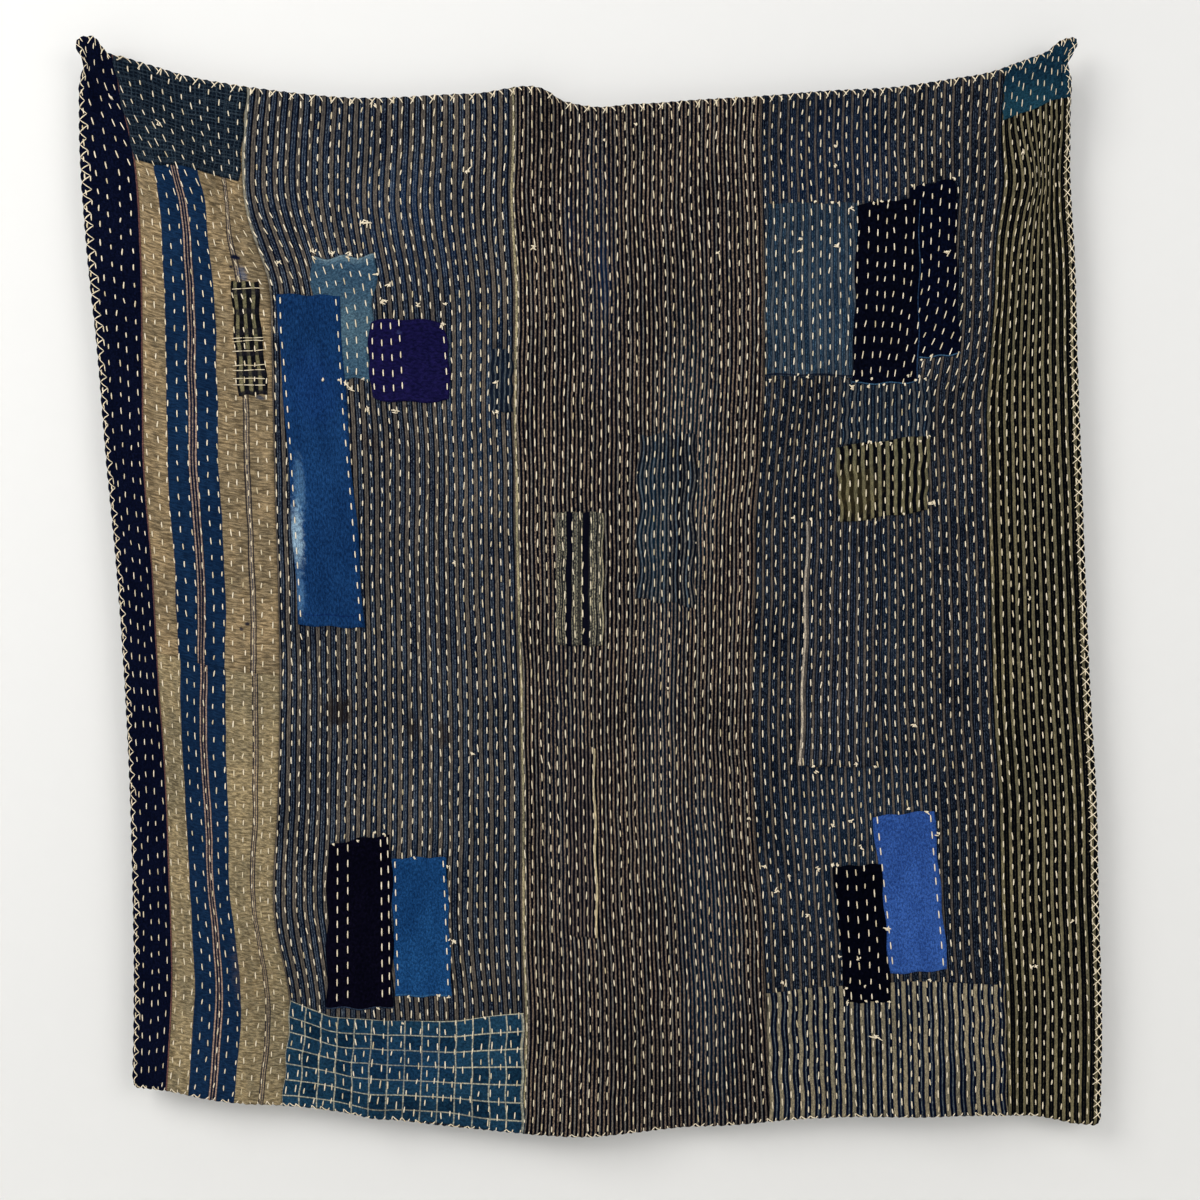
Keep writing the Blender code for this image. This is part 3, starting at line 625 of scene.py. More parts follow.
class ClothSizes(bpy.types.PropertyGroup):
    """Sizes of the cloth and of its threads."""

    cell: FloatProperty(
        name="Net cell", description="Height of a cell of a width's net", default=0.0050, unit="LENGTH"
    )
    patch_cell: FloatProperty(
        name="Patch cell", description="Side of a cell of a patch's net", default=0.0036, unit="LENGTH"
    )
    cloth: FloatProperty(name="Cloth", description="Thickness of a width", default=0.0016, unit="LENGTH")
    patch: FloatProperty(name="Patch", description="Thickness of a patch", default=0.0006, unit="LENGTH")
    thread: FloatProperty(
        name="Thread", description="Width of a running stitch", default=0.0018, unit="LENGTH"
    )
    edge_thread: FloatProperty(
        name="Edge thread", description="Width of the overcast thread", default=0.0014, unit="LENGTH"
    )
    pucker: FloatProperty(
        name="Pucker", description="How deep a row of stitches pulls in", default=0.0008, unit="LENGTH"
    )


class ClothColours(bpy.types.PropertyGroup):
    """Colours of the thread and of the room."""

    thread: FloatVectorProperty(
        name="Thread", description="Fresh cream thread", default=(0.93, 0.82, 0.63), subtype="COLOR"
    )
    aged_thread: FloatVectorProperty(
        name="Aged thread", description="Yellowed thread", default=(0.58, 0.48, 0.29), subtype="COLOR"
    )
    backdrop: FloatVectorProperty(
        name="Backdrop", description="Pale wall and floor", default=(0.76, 0.755, 0.735), subtype="COLOR"
    )


def sizes():
    return bpy.context.scene.cloth_sizes


def colours():
    return bpy.context.scene.cloth_colours


def smooth(places, values, at):
    """Values of the smooth curve through a table's points."""
    places = np.asarray(places, float)
    values = np.asarray(values, float)
    slopes = np.gradient(values, places)
    index = np.clip(np.searchsorted(places, at) - 1, 0, len(places) - 2)
    span = places[index + 1] - places[index]
    t = np.clip((at - places[index]) / span, 0.0, 1.0)
    from_start = (1 + 2 * t) * (1 - t) ** 2 * values[index] + t * (1 - t) ** 2 * span * slopes[index]
    from_end = t * t * (3 - 2 * t) * values[index + 1] - t * t * (1 - t) * span * slopes[index + 1]
    return from_start + from_end


def flat_seams():
    """How far right of the flat cloth's left edge each seam lies."""
    places = {"left_edge": 0.0}
    for loom in LOOMS:
        places[loom.right_seam] = places[loom.left_seam] + loom.flat_width
    return places


FLAT_SEAMS = flat_seams()
FLAT_WIDTH = FLAT_SEAMS["right_edge"]
SEAM_PLACES = np.array([FLAT_SEAMS[seam] for seam in SEAMS])
SHARES = [section.share for section in SECTIONS]


def seams_at(share):
    """Where all the seams hang at each share of the way down, a row for each seam."""
    rows = [[getattr(section, seam) for section in SECTIONS] for seam in SEAMS]
    return np.array([smooth(SHARES, row, share) for row in rows])


def between_seams(index, t, hung):
    points = np.arange(len(index))
    return hung[index, points] + t * (hung[index + 1, points] - hung[index, points])


def seam_share(u):
    """The seam left of each place of the flat cloth, and the share of the way to the next."""
    index = np.clip(np.searchsorted(SEAM_PLACES, u, side="right") - 1, 0, len(SEAMS) - 2)
    return index, (u - SEAM_PLACES[index]) / (SEAM_PLACES[index + 1] - SEAM_PLACES[index])


def hem_heights(index, t):
    """Heights of the top and foot hems above and below each place of the flat cloth."""
    heights = []
    for hem, share in ((TOP_HEM, 0.0), (FOOT_HEM, 1.0)):
        along = between_seams(index, t, np.repeat(seams_at(np.array([share])), len(index), axis=1))
        heights.append(smooth([point.along for point in hem], [point.height for point in hem], along))
    return heights


def undrawn_place(u, v):
    """The hung x and z of places of the flat cloth, before it is drawn aside."""
    share = v / FLAT_LENGTH
    index, t = seam_share(u)
    x = between_seams(index, t, seams_at(np.clip(share, 0.0, 1.0)))
    top, foot = hem_heights(index, t)
    return x, top + (foot - top) * share


def hung_place(u, v):
    """The hung x and z of places of the flat cloth."""
    x, z = undrawn_place(u, v)
    right, up = np.zeros(len(x)), np.zeros(len(x))
    for draw in DRAWS:
        near = np.exp(-(((x - draw.x) / draw.reach_x) ** 2) - ((z - draw.z) / draw.reach_z) ** 2)
        right += draw.right * near
        up += draw.up * near
    return x + right, z + up


def flat_place(x, z):
    """The places of the flat cloth that hang at x and z. One past the edge is brought to the edge."""
    aim, aim_z = x.copy(), z.copy()
    v = np.full(len(x), FLAT_LENGTH / 2)
    for _ in range(INVERSE_STEPS):
        hung = seams_at(v / FLAT_LENGTH)
        index = np.clip((hung <= aim).sum(axis=0) - 1, 0, len(SEAMS) - 2)
        points = np.arange(len(x))
        t = (aim - hung[index, points]) / (hung[index + 1, points] - hung[index, points])
        u = np.clip(SEAM_PLACES[index] + t * (SEAM_PLACES[index + 1] - SEAM_PLACES[index]), 0.0, FLAT_WIDTH)
        top, foot = hem_heights(*seam_share(u))
        v = np.clip((aim_z - top) / (foot - top), 0.0, 1.0) * FLAT_LENGTH
        reached_x, reached_z = hung_place(u, v)
        aim = aim + (x - reached_x)
        aim_z = aim_z + (z - reached_z)
    return u, v


def fold_rise(x, z, folds):
    """How far the folds carry hung places towards the front."""
    total = np.zeros(len(x))
    for fold in folds:
        run_x, run_z = fold.end_x - fold.start_x, fold.end_z - fold.start_z
        along = ((x - fold.start_x) * run_x + (z - fold.start_z) * run_z) / (run_x**2 + run_z**2)
        along = np.clip(along, 0.0, 1.0)
        away = np.hypot(x - fold.start_x - run_x * along, z - fold.start_z - run_z * along)
        rise = smooth((0.0, 0.5, 1.0), (fold.start_rise, fold.middle_rise, fold.end_rise), along)
        total += rise * np.exp(-((away / fold.reach) ** 2))
    return total


# The overcast edge: how often the thread wraps each side, how deep it reaches in, and how it is sewn
EdgeSide = namedtuple("EdgeSide", "name wraps depth pattern")
EDGE_SIDES = (
    EdgeSide("left", 84, 10.4, "hooked"),
    EdgeSide("right", 98, 11.5, "crossed"),
    EdgeSide("top", 110, 8.0, "forked"),
    EdgeSide("foot", 124, 5.2, "slanted"),
)
EDGE_OUT = 0.5
EDGE_DRAW = 2.0
EDGE_DRAW_REACH = 3.5
CORNER_RADIUS = 11.0


def edge_step(side):
    whole = FLAT_LENGTH if side.name in ("left", "right") else FLAT_WIDTH
    return whole / side.wraps


def edge_draw(u, v):
    """How far right and up the overcast thread draws the cloth in from its edge, where it wraps round."""
    ways = {"left": (u, v), "right": (FLAT_WIDTH - u, v), "top": (v, u), "foot": (FLAT_LENGTH - v, u)}
    draw = {}
    for side in EDGE_SIDES:
        depth, along = ways[side.name]
        near = np.exp(-np.maximum(depth, 0.0) / EDGE_DRAW_REACH)
        wrap = (0.5 + 0.5 * np.cos(2 * np.pi * (along / edge_step(side) - 0.5))) ** 2
        draw[side.name] = EDGE_DRAW * near * wrap
    return draw["left"] - draw["right"], draw["foot"] - draw["top"]


def rounded(u, v):
    """Places of the flat cloth, with its four corners worn round."""
    middle_u, middle_v = FLAT_WIDTH / 2, FLAT_LENGTH / 2
    a = np.clip((np.abs(u - middle_u) - middle_u) / CORNER_RADIUS + 1.0, 0.0, 1.0)
    b = np.clip((np.abs(v - middle_v) - middle_v) / CORNER_RADIUS + 1.0, 0.0, 1.0)
    lost_a = CORNER_RADIUS * a * (1.0 - np.sqrt(1.0 - b * b / 2))
    lost_b = CORNER_RADIUS * b * (1.0 - np.sqrt(1.0 - a * a / 2))
    return u - np.sign(u - middle_u) * lost_a, v - np.sign(v - middle_v) * lost_b


def hang(u, v, lift):
    """Where places of the flat cloth hang, in metres, when they lie lift mm in front of it."""
    u, v = rounded(u, v)
    x, z = hung_place(u, v)
    forward = fold_rise(x, z, FOLDS) + fold_rise(x, z, CREASES) + lift
    right, up = edge_draw(u, v)
    return np.stack((x + right, -forward, z + up), axis=1) * MM


def inside(x, z, corners):
    """Which places lie inside an outline."""
    found = np.zeros(len(x), bool)
    previous = corners[-1]
    for corner in corners:
        (x1, z1), (x2, z2) = previous, corner
        previous = corner
        if z1 == z2:
            continue
        crosses = ((z1 > z) != (z2 > z)) & (x < (x2 - x1) * (z - z1) / (z2 - z1) + x1)
        found ^= crosses
    return found


def patch_lift(patch):
    return PATCH_GAP + PATCH_PILE * patch.level


def cover_lift(u, v):
    """How far in front of the widths the topmost patch lies at places of the flat cloth."""
    x, z = hung_place(u, v)
    lift = np.zeros(len(u))
    for patch in PATCHES:
        top = patch_lift(patch) + sizes().patch / MM
        lift = np.where(inside(x, z, patch.corners), np.maximum(lift, top), lift)
    return lift


def left_out_of_rows(u, v):
    """Which places of the flat cloth lie on a patch that has stitch rows of its own."""
    x, z = hung_place(u, v)
    found = np.zeros(len(u), bool)
    for patch in PATCHES:
        if patch.name in [rows.patch for rows in OWN_ROWS]:
            found |= inside(x, z, patch.corners)
    return found


ROW_SEED = 11
STEP_SPREAD = (0.95, 1.05)
FIRST_STITCH = (4.0, 10.0)
PUCKER_MEAN = 0.65
PUCKER_SWING = 0.35
PUCKER_SHARPNESS = 1.5


class StitchRows:
    """The long rows of running stitch: where each runs on the flat cloth, its first stitch and its step."""

    def __init__(self):
        random = np.random.default_rng(ROW_SEED)
        self.u, self.start, self.step, self.spacing, self.strip, self.stitch = [], [], [], [], [], []
        for loom in LOOMS:
            if loom.top > 0:
                continue
            spacing = loom.flat_width / loom.rows
            for row in range(loom.rows):
                self.u.append(FLAT_SEAMS[loom.left_seam] + (row + ROW_OFFSET) * spacing)
                self.spacing.append(spacing)
                self.step.append(loom.step * random.uniform(*STEP_SPREAD))
                self.start.append((row % 2) * loom.step / 2 + random.uniform(*FIRST_STITCH))
                self.strip.append(loom.left_seam)
                self.stitch.append(loom.stitch)
        self.u = np.array(self.u)
        self.start = np.array(self.start)
        self.step = np.array(self.step)
        self.spacing = np.array(self.spacing)
        self.between = (self.u[1:] + self.u[:-1]) / 2

    def pucker(self, u, v):
        """How far the rows pull the flat cloth's places back, in mm."""
        row = np.searchsorted(self.between, u)
        near = np.clip(1.0 - np.abs(u - self.u[row]) / (self.spacing[row] / 2), 0.0, 1.0)
        phase = (v - self.start[row]) / self.step[row]
        depth = PUCKER_MEAN + PUCKER_SWING * np.cos(2 * np.pi * phase)
        deep = sizes().pucker / MM
        return -deep * near**PUCKER_SHARPNESS * depth * ~left_out_of_rows(u, v)


ROWS = StitchRows()
SEAM_DENT = 0.9
SEAM_DENT_REACH = 2.6
SEAM_RIDGE = 0.6
SEAM_RIDGE_AWAY = 6.5
SEAM_RIDGE_REACH = 4.0
HEM_RISE = 0.9
HEM_REACH = 7.0


def relief(u, v):
    """The small relief of the widths: pucker along the rows, dents at the seams and a thicker hem."""
    rise = ROWS.pucker(u, v)
    for seam in SEAMS[1:-1]:
        away = u - FLAT_SEAMS[seam]
        rise = rise - SEAM_DENT * np.exp(-((away / SEAM_DENT_REACH) ** 2))
        rise = rise + SEAM_RIDGE * np.exp(-(((away - SEAM_RIDGE_AWAY) / SEAM_RIDGE_REACH) ** 2))
    edge = np.minimum(np.minimum(u, FLAT_WIDTH - u), np.minimum(v, FLAT_LENGTH - v))
    return rise + HEM_RISE * np.exp(-(((edge - HEM_REACH / 2) / (HEM_REACH / 2)) ** 2))


def net(columns, rows):
    """A flat net of cells as a mesh, with its points' shares of the way right and down."""
    cells = bmesh.new()
    bmesh.ops.create_grid(cells, x_segments=columns, y_segments=rows, size=0.5)
    mesh = bpy.data.meshes.new("net")
    cells.to_mesh(mesh)
    cells.free()
    places = np.empty(len(mesh.vertices) * 3)
    mesh.vertices.foreach_get("co", places)
    places = places.reshape(-1, 3)
    return mesh, places[:, 0] + 0.5, 0.5 - places[:, 1]


def add_flat_map(mesh, across, down):
    """Gives a mesh a UV map that holds its place on the flat piece, in metres."""
    corner_points = np.empty(len(mesh.loops), int)
    mesh.loops.foreach_get("vertex_index", corner_points)
    flat = np.stack((across[corner_points], down[corner_points]), axis=1) * MM
    mesh.uv_layers.new(name=FLAT_MAP).data.foreach_set("uv", flat.ravel())


def place_points(mesh, points):
    mesh.vertices.foreach_set("co", np.ascontiguousarray(points, float).ravel())
    mesh.update()


def add_object(name, mesh, material):
    mesh.name = name
    mesh.materials.clear()
    mesh.materials.append(material)
    mesh.shade_smooth()
    piece = bpy.data.objects.new(name, mesh)
    bpy.context.scene.collection.objects.link(piece)
    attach(piece, BODY)
    return piece


def thicken(piece, thickness):
    solidify = piece.modifiers.new("thickness", "SOLIDIFY")
    solidify.thickness = thickness
    solidify.offset = -1.0


def dress_node(node):
    """Hides the CAD node that a piece stands for."""
    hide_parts(node)


NOISE_ROUGHNESS = 0.6


class Shades:
    """Adds nodes to a node tree. Values may be sockets or numbers."""

    def __init__(self, tree):
        self.tree = tree

    def put(self, socket, value):
        if isinstance(value, bpy.types.NodeSocket):
            self.tree.links.new(value, socket)
        elif socket.type == "RGBA":
            socket.default_value = (*value[:3], 1.0)
        else:
            socket.default_value = value

    def node(self, kind, settings=(), **inputs):
        made = self.tree.nodes.new(kind)
        for name, value in dict(settings).items():
            setattr(made, name, value)
        for name, value in inputs.items():
            self.put(made.inputs[name.replace("_", " ")], value)
        return made

    def math(self, operation, *values):
        made = self.tree.nodes.new("ShaderNodeMath")
        made.operation = operation
        for socket, value in zip(made.inputs, values):
            self.put(socket, value)
        return made.outputs[0]

    def mix(self, share, first, second, blend="MIX"):
        made = self.tree.nodes.new("ShaderNodeMix")
        made.data_type = "RGBA"
        made.blend_type = blend
        self.put(made.inputs[0], share)
        self.put(made.inputs[6], first)
        self.put(made.inputs[7], second)
        return made.outputs[2]

    def stretch(self, place, scale):
        """A place scaled differently along its axes."""
        made = self.tree.nodes.new("ShaderNodeVectorMath")
        made.operation = "MULTIPLY"
        self.put(made.inputs[0], place)
        made.inputs[1].default_value = scale
        return made.outputs[0]

    def noise(self, place, detail=2.0):
        looks = {"Scale": 1.0, "Detail": detail, "Roughness": NOISE_ROUGHNESS}
        return self.node("ShaderNodeTexNoise", Vector=place, **looks).outputs[0]

    def between(self, value, low, high):
        """0 where a value is under low, 1 over high, and smooth between them."""
        made = self.node("ShaderNodeMapRange", {"interpolation_type": "SMOOTHSTEP"}, Value=value)
        self.put(made.inputs["From Min"], low)
        self.put(made.inputs["From Max"], high)
        return made.outputs[0]

    def group(self, name, **inputs):
        return self.node("ShaderNodeGroup", {"node_tree": bpy.data.node_groups[name]}, **inputs)


def new_group(name, inputs, outputs):
    """A shader node group with number and vector sockets: its builder, its inputs and its outputs."""
    tree = bpy.data.node_groups.new(name, "ShaderNodeTree")
    for sockets, way in ((inputs, "INPUT"), (outputs, "OUTPUT")):
        for socket in sockets:
            kind = "NodeSocketVector" if socket == "Place" else "NodeSocketFloat"
            tree.interface.new_socket(socket, in_out=way, socket_type=kind)
    shades = Shades(tree)
    return shades, tree.nodes.new("NodeGroupInput").outputs, tree.nodes.new("NodeGroupOutput").inputs


MM_PER_METRE = (1000.0, 1000.0, 1000.0)


def build_flat_place():
    """The place on the flat piece, in mm."""
    shades, _, out = new_group("flat_place", (), ("Place", "Across", "Down"))
    flat = shades.node("ShaderNodeUVMap", {"uv_map": FLAT_MAP}).outputs[0]
    place = shades.stretch(flat, MM_PER_METRE)
    parts = shades.node("ShaderNodeSeparateXYZ", Vector=place).outputs
    shades.put(out["Place"], place)
    shades.put(out["Across"], parts[0])
    shades.put(out["Down"], parts[1])


# Unevenness of woven bars. A grain is how fine its noise is right and down, in turns for each mm, and a
# reach is in mm.
SWAY_GRAIN = (0.011, 0.011, 1.0)
SWAY_REACH = 6.0
RAGGED_GRAIN = (0.5, 0.14, 1.0)
RAGGED_REACH = 1.5
DASH_GRAIN = (0.75, 0.34, 1.0)
DASH_EDGES = (0.42, 0.58)

# Each repeat of a bar has its own shade: how unlike its neighbours it is, how fast it changes down the
# bar, and how far it fades.
OWN_APART = 3.7
OWN_RUN = 0.012
OWN_EDGES = (0.3, 0.6)
OWN_FADING = 0.5


def build_woven_bar():
    """A mask of bars, or of one bar where the repeat is very long. They wander sideways and break up."""
    names = ("Place", "Across", "Repeat", "Middle", "Width", "Soft", "Wander", "Broken")
    shades, give, out = new_group("woven_bar", names, ("Mask",))
    slow = shades.math("SUBTRACT", shades.noise(shades.stretch(give["Place"], SWAY_GRAIN), 1.0), 0.5)
    sway = shades.math("MULTIPLY", slow, shades.math("MULTIPLY", give["Wander"], SWAY_REACH))
    moved = shades.math("SUBTRACT", shades.math("ADD", give["Across"], sway), give["Middle"])
    turns = shades.math("DIVIDE", moved, give["Repeat"])
    away = shades.math("ABSOLUTE", shades.math("SUBTRACT", turns, shades.math("ROUND", turns)))
    away = shades.math("MULTIPLY", away, give["Repeat"])
    ragged = shades.math("SUBTRACT", shades.noise(shades.stretch(give["Place"], RAGGED_GRAIN), 3.0), 0.5)
    away = shades.math("ADD", away, shades.math("MULTIPLY", ragged, RAGGED_REACH))
    half = shades.math("MULTIPLY", give["Width"], 0.5)
    outer = shades.math("ADD", half, give["Soft"])
    inner = shades.math("SUBTRACT", half, give["Soft"])
    bar = shades.math("SUBTRACT", 1.0, shades.between(away, inner, outer))
    fine = shades.noise(shades.stretch(give["Place"], DASH_GRAIN), 3.0)
    dash = shades.between(fine, *DASH_EDGES)
    whole = shades.math("SUBTRACT", 1.0, give["Broken"])
    kept = shades.math("ADD", whole, shades.math("MULTIPLY", dash, give["Broken"]))
    parts = shades.node("ShaderNodeSeparateXYZ", Vector=give["Place"]).outputs
    own = shades.math("MULTIPLY", shades.math("ROUND", turns), OWN_APART)
    run = shades.math("MULTIPLY", parts[1], OWN_RUN)
    own_place = shades.node("ShaderNodeCombineXYZ", X=own, Y=run).outputs[0]
    own_shade = shades.between(shades.noise(own_place, 2.0), *OWN_EDGES)
    faded = shades.math("MULTIPLY", shades.math("SUBTRACT", 1.0, own_shade), give["Broken"])
    kept = shades.math("SUBTRACT", kept, shades.math("MULTIPLY", faded, OWN_FADING))
    shades.put(out["Mask"], shades.math("MULTIPLY", bar, kept))


SPOT_GRAIN = (0.16, 0.16, 1.0)
SPOT_UNEVEN = 1.4
SPOT_EDGES = (0.35, 1.15)


def build_soft_spot():
    """A mask of one soft-edged, uneven spot."""
    names = ("Place", "Middle across", "Middle down", "Reach across", "Reach down")
    shades, give, out = new_group("soft_spot", names, ("Mask",))
    parts = shades.node("ShaderNodeSeparateXYZ", Vector=give["Place"]).outputs
    squares = []
    for part, way in zip(parts, ("across", "down")):
        off = shades.math("SUBTRACT", part, give["Middle " + way])
        share = shades.math("ABSOLUTE", shades.math("DIVIDE", off, give["Reach " + way]))
        squares.append(shades.math("POWER", share, 2.0))
    grain = shades.noise(shades.stretch(give["Place"], SPOT_GRAIN), 3.0)
    uneven = shades.math("MULTIPLY", shades.math("SUBTRACT", grain, 0.5), SPOT_UNEVEN)
    away = shades.math("ADD", shades.math("SQRT", shades.math("ADD", *squares)), uneven)
    shades.put(out["Mask"], shades.math("SUBTRACT", 1.0, shades.between(away, *SPOT_EDGES)))


STREAK_EDGES = (0.36, 0.64)


def build_streaks():
    """Uneven yarn: streaks that run along or across the piece, from 0 to 1."""
    shades, give, out = new_group("streaks", ("Place", "Along", "Aside"), ("Value",))
    parts = shades.node("ShaderNodeSeparateXYZ", Vector=give["Place"]).outputs
    aside = shades.math("DIVIDE", parts[0], give["Aside"])
    along = shades.math("DIVIDE", parts[1], give["Along"])
    place = shades.node("ShaderNodeCombineXYZ", X=aside, Y=along).outputs[0]
    shades.put(out["Value"], shades.between(shades.noise(place, 3.0), *STREAK_EDGES))


LUMP_GRAIN = (0.9, 0.9, 1.0)
LUMP_HEIGHT = 1.3
WEAVE_HEIGHT = 0.35
# Edges of the lump noise over which the painted shade goes from the weave's low places to its lumps
HOLLOW_EDGES = (0.34, 0.66)


def build_weave():
    """The height of a plain weave with uneven threads, and a painted shade from it: 0 where it lies low, 1
    on its lumps.
    """
    shades, give, out = new_group("weave", ("Place", "Thread"), ("Height", "Shade"))
    turn = shades.math("DIVIDE", 2 * np.pi, give["Thread"])
    parts = shades.node("ShaderNodeSeparateXYZ", Vector=give["Place"]).outputs
    warp = shades.math("SINE", shades.math("MULTIPLY", parts[0], turn))
    weft = shades.math("SINE", shades.math("MULTIPLY", parts[1], turn))
    weave = shades.math("MULTIPLY", warp, weft)
    lumps = shades.noise(shades.stretch(give["Place"], LUMP_GRAIN), 3.0)
    heights = shades.math("MULTIPLY", weave, WEAVE_HEIGHT), shades.math("MULTIPLY", lumps, LUMP_HEIGHT)
    shades.put(out["Height"], shades.math("ADD", *heights))
    shades.put(out["Shade"], shades.between(lumps, *HOLLOW_EDGES))


BROAD_GRAIN = (0.006, 0.006, 1.0)
BROAD_SHARE = 0.6
MIDDLING_GRAIN = (0.05, 0.02, 1.0)
MIDDLING_SHARE = 0.4
FADING_EDGES = (0.38, 0.62)


def build_fading():
    """Broad and middling wear, from 0 to 1."""
    shades, give, out = new_group("fading", ("Place",), ("Value",))
    broad = shades.noise(shades.stretch(give["Place"], BROAD_GRAIN), 2.0)
    middling = shades.noise(shades.stretch(give["Place"], MIDDLING_GRAIN), 3.0)
    parts = shades.math("MULTIPLY", broad, BROAD_SHARE), shades.math("MULTIPLY", middling, MIDDLING_SHARE)
    shades.put(out["Value"], shades.between(shades.math("ADD", *parts), *FADING_EDGES))


def build_groups():
    build_flat_place()
    build_woven_bar()
    build_soft_spot()
    build_streaks()
    build_weave()
    build_fading()


def seen(colour):
    """A colour as seen on screen, in 0 to 255, as the shader's linear one."""
    parts = np.array(colour, float) / 255.0
    linear = np.where(parts <= 0.04045, parts / 12.92, ((parts + 0.055) / 1.055) ** 2.4)
    return tuple(float(part) for part in linear)


LONG_REPEAT = 100000.0
FADED_SHADE = (1.26, 1.22, 1.18)
WORN_SHADE = (0.78, 0.80, 0.84)
LIGHT_YARN = (1.34, 1.33, 1.30)
DARK_YARN = (0.62, 0.63, 0.66)
# Painted shade where the weave lies low and painted light on its lumps, as factors on the colour
HOLLOW_PAINTED_SHADE = (0.74, 0.74, 0.76)
LUMP_PAINTED_LIGHT = (1.24, 1.24, 1.22)
YARN_WIDTH = 0.85
YARN_RUN = 0.7
WEAVE_STRENGTH = 0.5
RELIEF_DISTANCE = 0.0004
CLOTH_ROUGHNESS = 0.95
CLOTH_SPECULAR = 0.02


def bar_mask(shades, bar, place, across):
    return shades.group(
        "woven_bar",
        Place=place,
        Across=across,
        Repeat=bar.repeat or LONG_REPEAT,
        Middle=bar.middle,
        Width=bar.width,
        Soft=bar.soft,
        Wander=bar.wander,
        Broken=bar.broken,
    ).outputs[0]


def add_bars(shades, colour, bars, place, across):
    for bar in bars:
        colour = shades.mix(bar_mask(shades, bar, place, across), colour, seen(bar.colour))
    return colour


def add_spots(shades, colour, spots, place):
    for spot in spots:
        mask = shades.group(
            "soft_spot",
            Place=place,
            Middle_across=float(spot.across),
            Middle_down=float(spot.down),
            Reach_across=float(spot.reach_across),
            Reach_down=float(spot.reach_down),
        ).outputs[0]
        share = shades.math("MULTIPLY", mask, spot.strength)
        colour = shades.mix(share, colour, seen(spot.colour))
    return colour


CHECK_STEP = 21.7
CHECK_LINE = 1.5
CHECK_LINE_COLOUR = (168, 165, 144)
CHECK_LIGHT = (30, 62, 84)
CHECK_LIGHT_SHARE = 0.45


def add_check(shades, colour, place, across, down):
    """Pale lines both ways, with every other square lighter along and across."""
    for run in (across, down):
        broad = Bar(CHECK_STEP * 2, CHECK_STEP / 2, CHECK_STEP, 0.8, 0.8, 0.0, CHECK_LIGHT)
        share = shades.math("MULTIPLY", bar_mask(shades, broad, place, run), CHECK_LIGHT_SHARE)
        colour = shades.mix(share, colour, seen(broad.colour))
    for run in (across, down):
        line = (Bar(CHECK_STEP, 0.0, CHECK_LINE, 0.5, 0.8, 0.2, CHECK_LINE_COLOUR),)
        colour = add_bars(shades, colour, line, place, run)
    return colour


def finish(shades, material, colour, height, strength, roughness, specular):
    """Gives a material's shader its colour, its fine relief and its gloss."""
    bump = shades.node("ShaderNodeBump", Strength=strength, Distance=RELIEF_DISTANCE, Height=height)
    shader = material.node_tree.nodes["Principled BSDF"]
    shades.put(shader.inputs["Base Color"], colour)
    shades.put(shader.inputs["Normal"], bump.outputs[0])
    shader.inputs["Roughness"].default_value = roughness
    shader.inputs["Specular IOR Level"].default_value = specular


def cloth_material(name):
    """The woven cloth of one piece: yarn-dyed bars on an uneven ground, worn, with a weave's relief and
    painted shade.
    """
    cloth = CLOTHS[name]
    material = bpy.data.materials.new(name)
    material.use_nodes = True
    shades = Shades(material.node_tree)
    place, across, down = shades.group("flat_place").outputs
    streaks = shades.group("streaks", Place=place, Along=cloth.run_along, Aside=cloth.run_across).outputs[0]
    colour = shades.mix(streaks, seen(cloth.ground), seen(cloth.streak))
    colour = add_spots(shades, colour, cloth.tints, place)
    colour = add_bars(shades, colour, cloth.bars, place, across)
    if name in CROSS_BARS:
        colour = add_bars(shades, colour, CROSS_BARS[name], place, down)
    if name == "check_patch":
        colour = add_check(shades, colour, place, across, down)
    colour = add_spots(shades, colour, cloth.spots, place)
    along, aside = cloth.run_along * YARN_RUN, cloth.run_across * YARN_RUN
    yarns = shades.group("streaks", Place=place, Along=along, Aside=aside).outputs[0]
    colour = shades.mix(1.0, colour, shades.mix(yarns, DARK_YARN, LIGHT_YARN), "MULTIPLY")
    fading = shades.group("fading", Place=place).outputs[0]
    colour = shades.mix(1.0, colour, shades.mix(fading, WORN_SHADE, FADED_SHADE), "MULTIPLY")
    weave = shades.group("weave", Place=place, Thread=YARN_WIDTH)
    # Painted shade: the colour is darker where the weave lies low and lighter on its lumps, from the bump's
    # own noise
    weave_painted_shade = shades.mix(weave.outputs["Shade"], HOLLOW_PAINTED_SHADE, LUMP_PAINTED_LIGHT)
    colour = shades.mix(1.0, colour, weave_painted_shade, "MULTIPLY")
    height = weave.outputs["Height"]
    finish(shades, material, colour, height, WEAVE_STRENGTH, CLOTH_ROUGHNESS, CLOTH_SPECULAR)
    return material


PLY_GRAIN = (1400.0, 1400.0, 700.0)
# Painted shade in the grooves of the thread's ply and painted light on its crests, as factors on the colour
PLY_GROOVE_PAINTED_SHADE = (0.72, 0.70, 0.66)
PLY_CREST_PAINTED_LIGHT = (1.16, 1.16, 1.16)
PLY_STRENGTH = 0.6
THREAD_ROUGHNESS = 0.85
THREAD_SPECULAR = 0.25
THREAD_BLUNTNESS = 0.45


def thread_material(name):
    """Cotton sewing thread: cream, yellowed from stitch to stitch, with its ply as fine relief and painted
    shade.
    """
    material = bpy.data.materials.new(name)
    material.use_nodes = True
    shades = Shades(material.node_tree)
    tone = shades.node("ShaderNodeAttribute", {"attribute_name": TONE}).outputs["Fac"]
    colour = shades.mix(tone, tuple(colours().aged_thread), tuple(colours().thread))
    place = shades.node("ShaderNodeTexCoord").outputs["Object"]
    ply = shades.noise(shades.stretch(place, PLY_GRAIN), 2.0)
    # Painted shade: the colour follows the ply noise that also makes the bump
    colour = shades.mix(1.0, colour, shades.mix(ply, PLY_GROOVE_PAINTED_SHADE, PLY_CREST_PAINTED_LIGHT), "MULTIPLY")
    finish(shades, material, colour, ply, PLY_STRENGTH, THREAD_ROUGHNESS, THREAD_SPECULAR)
    return material


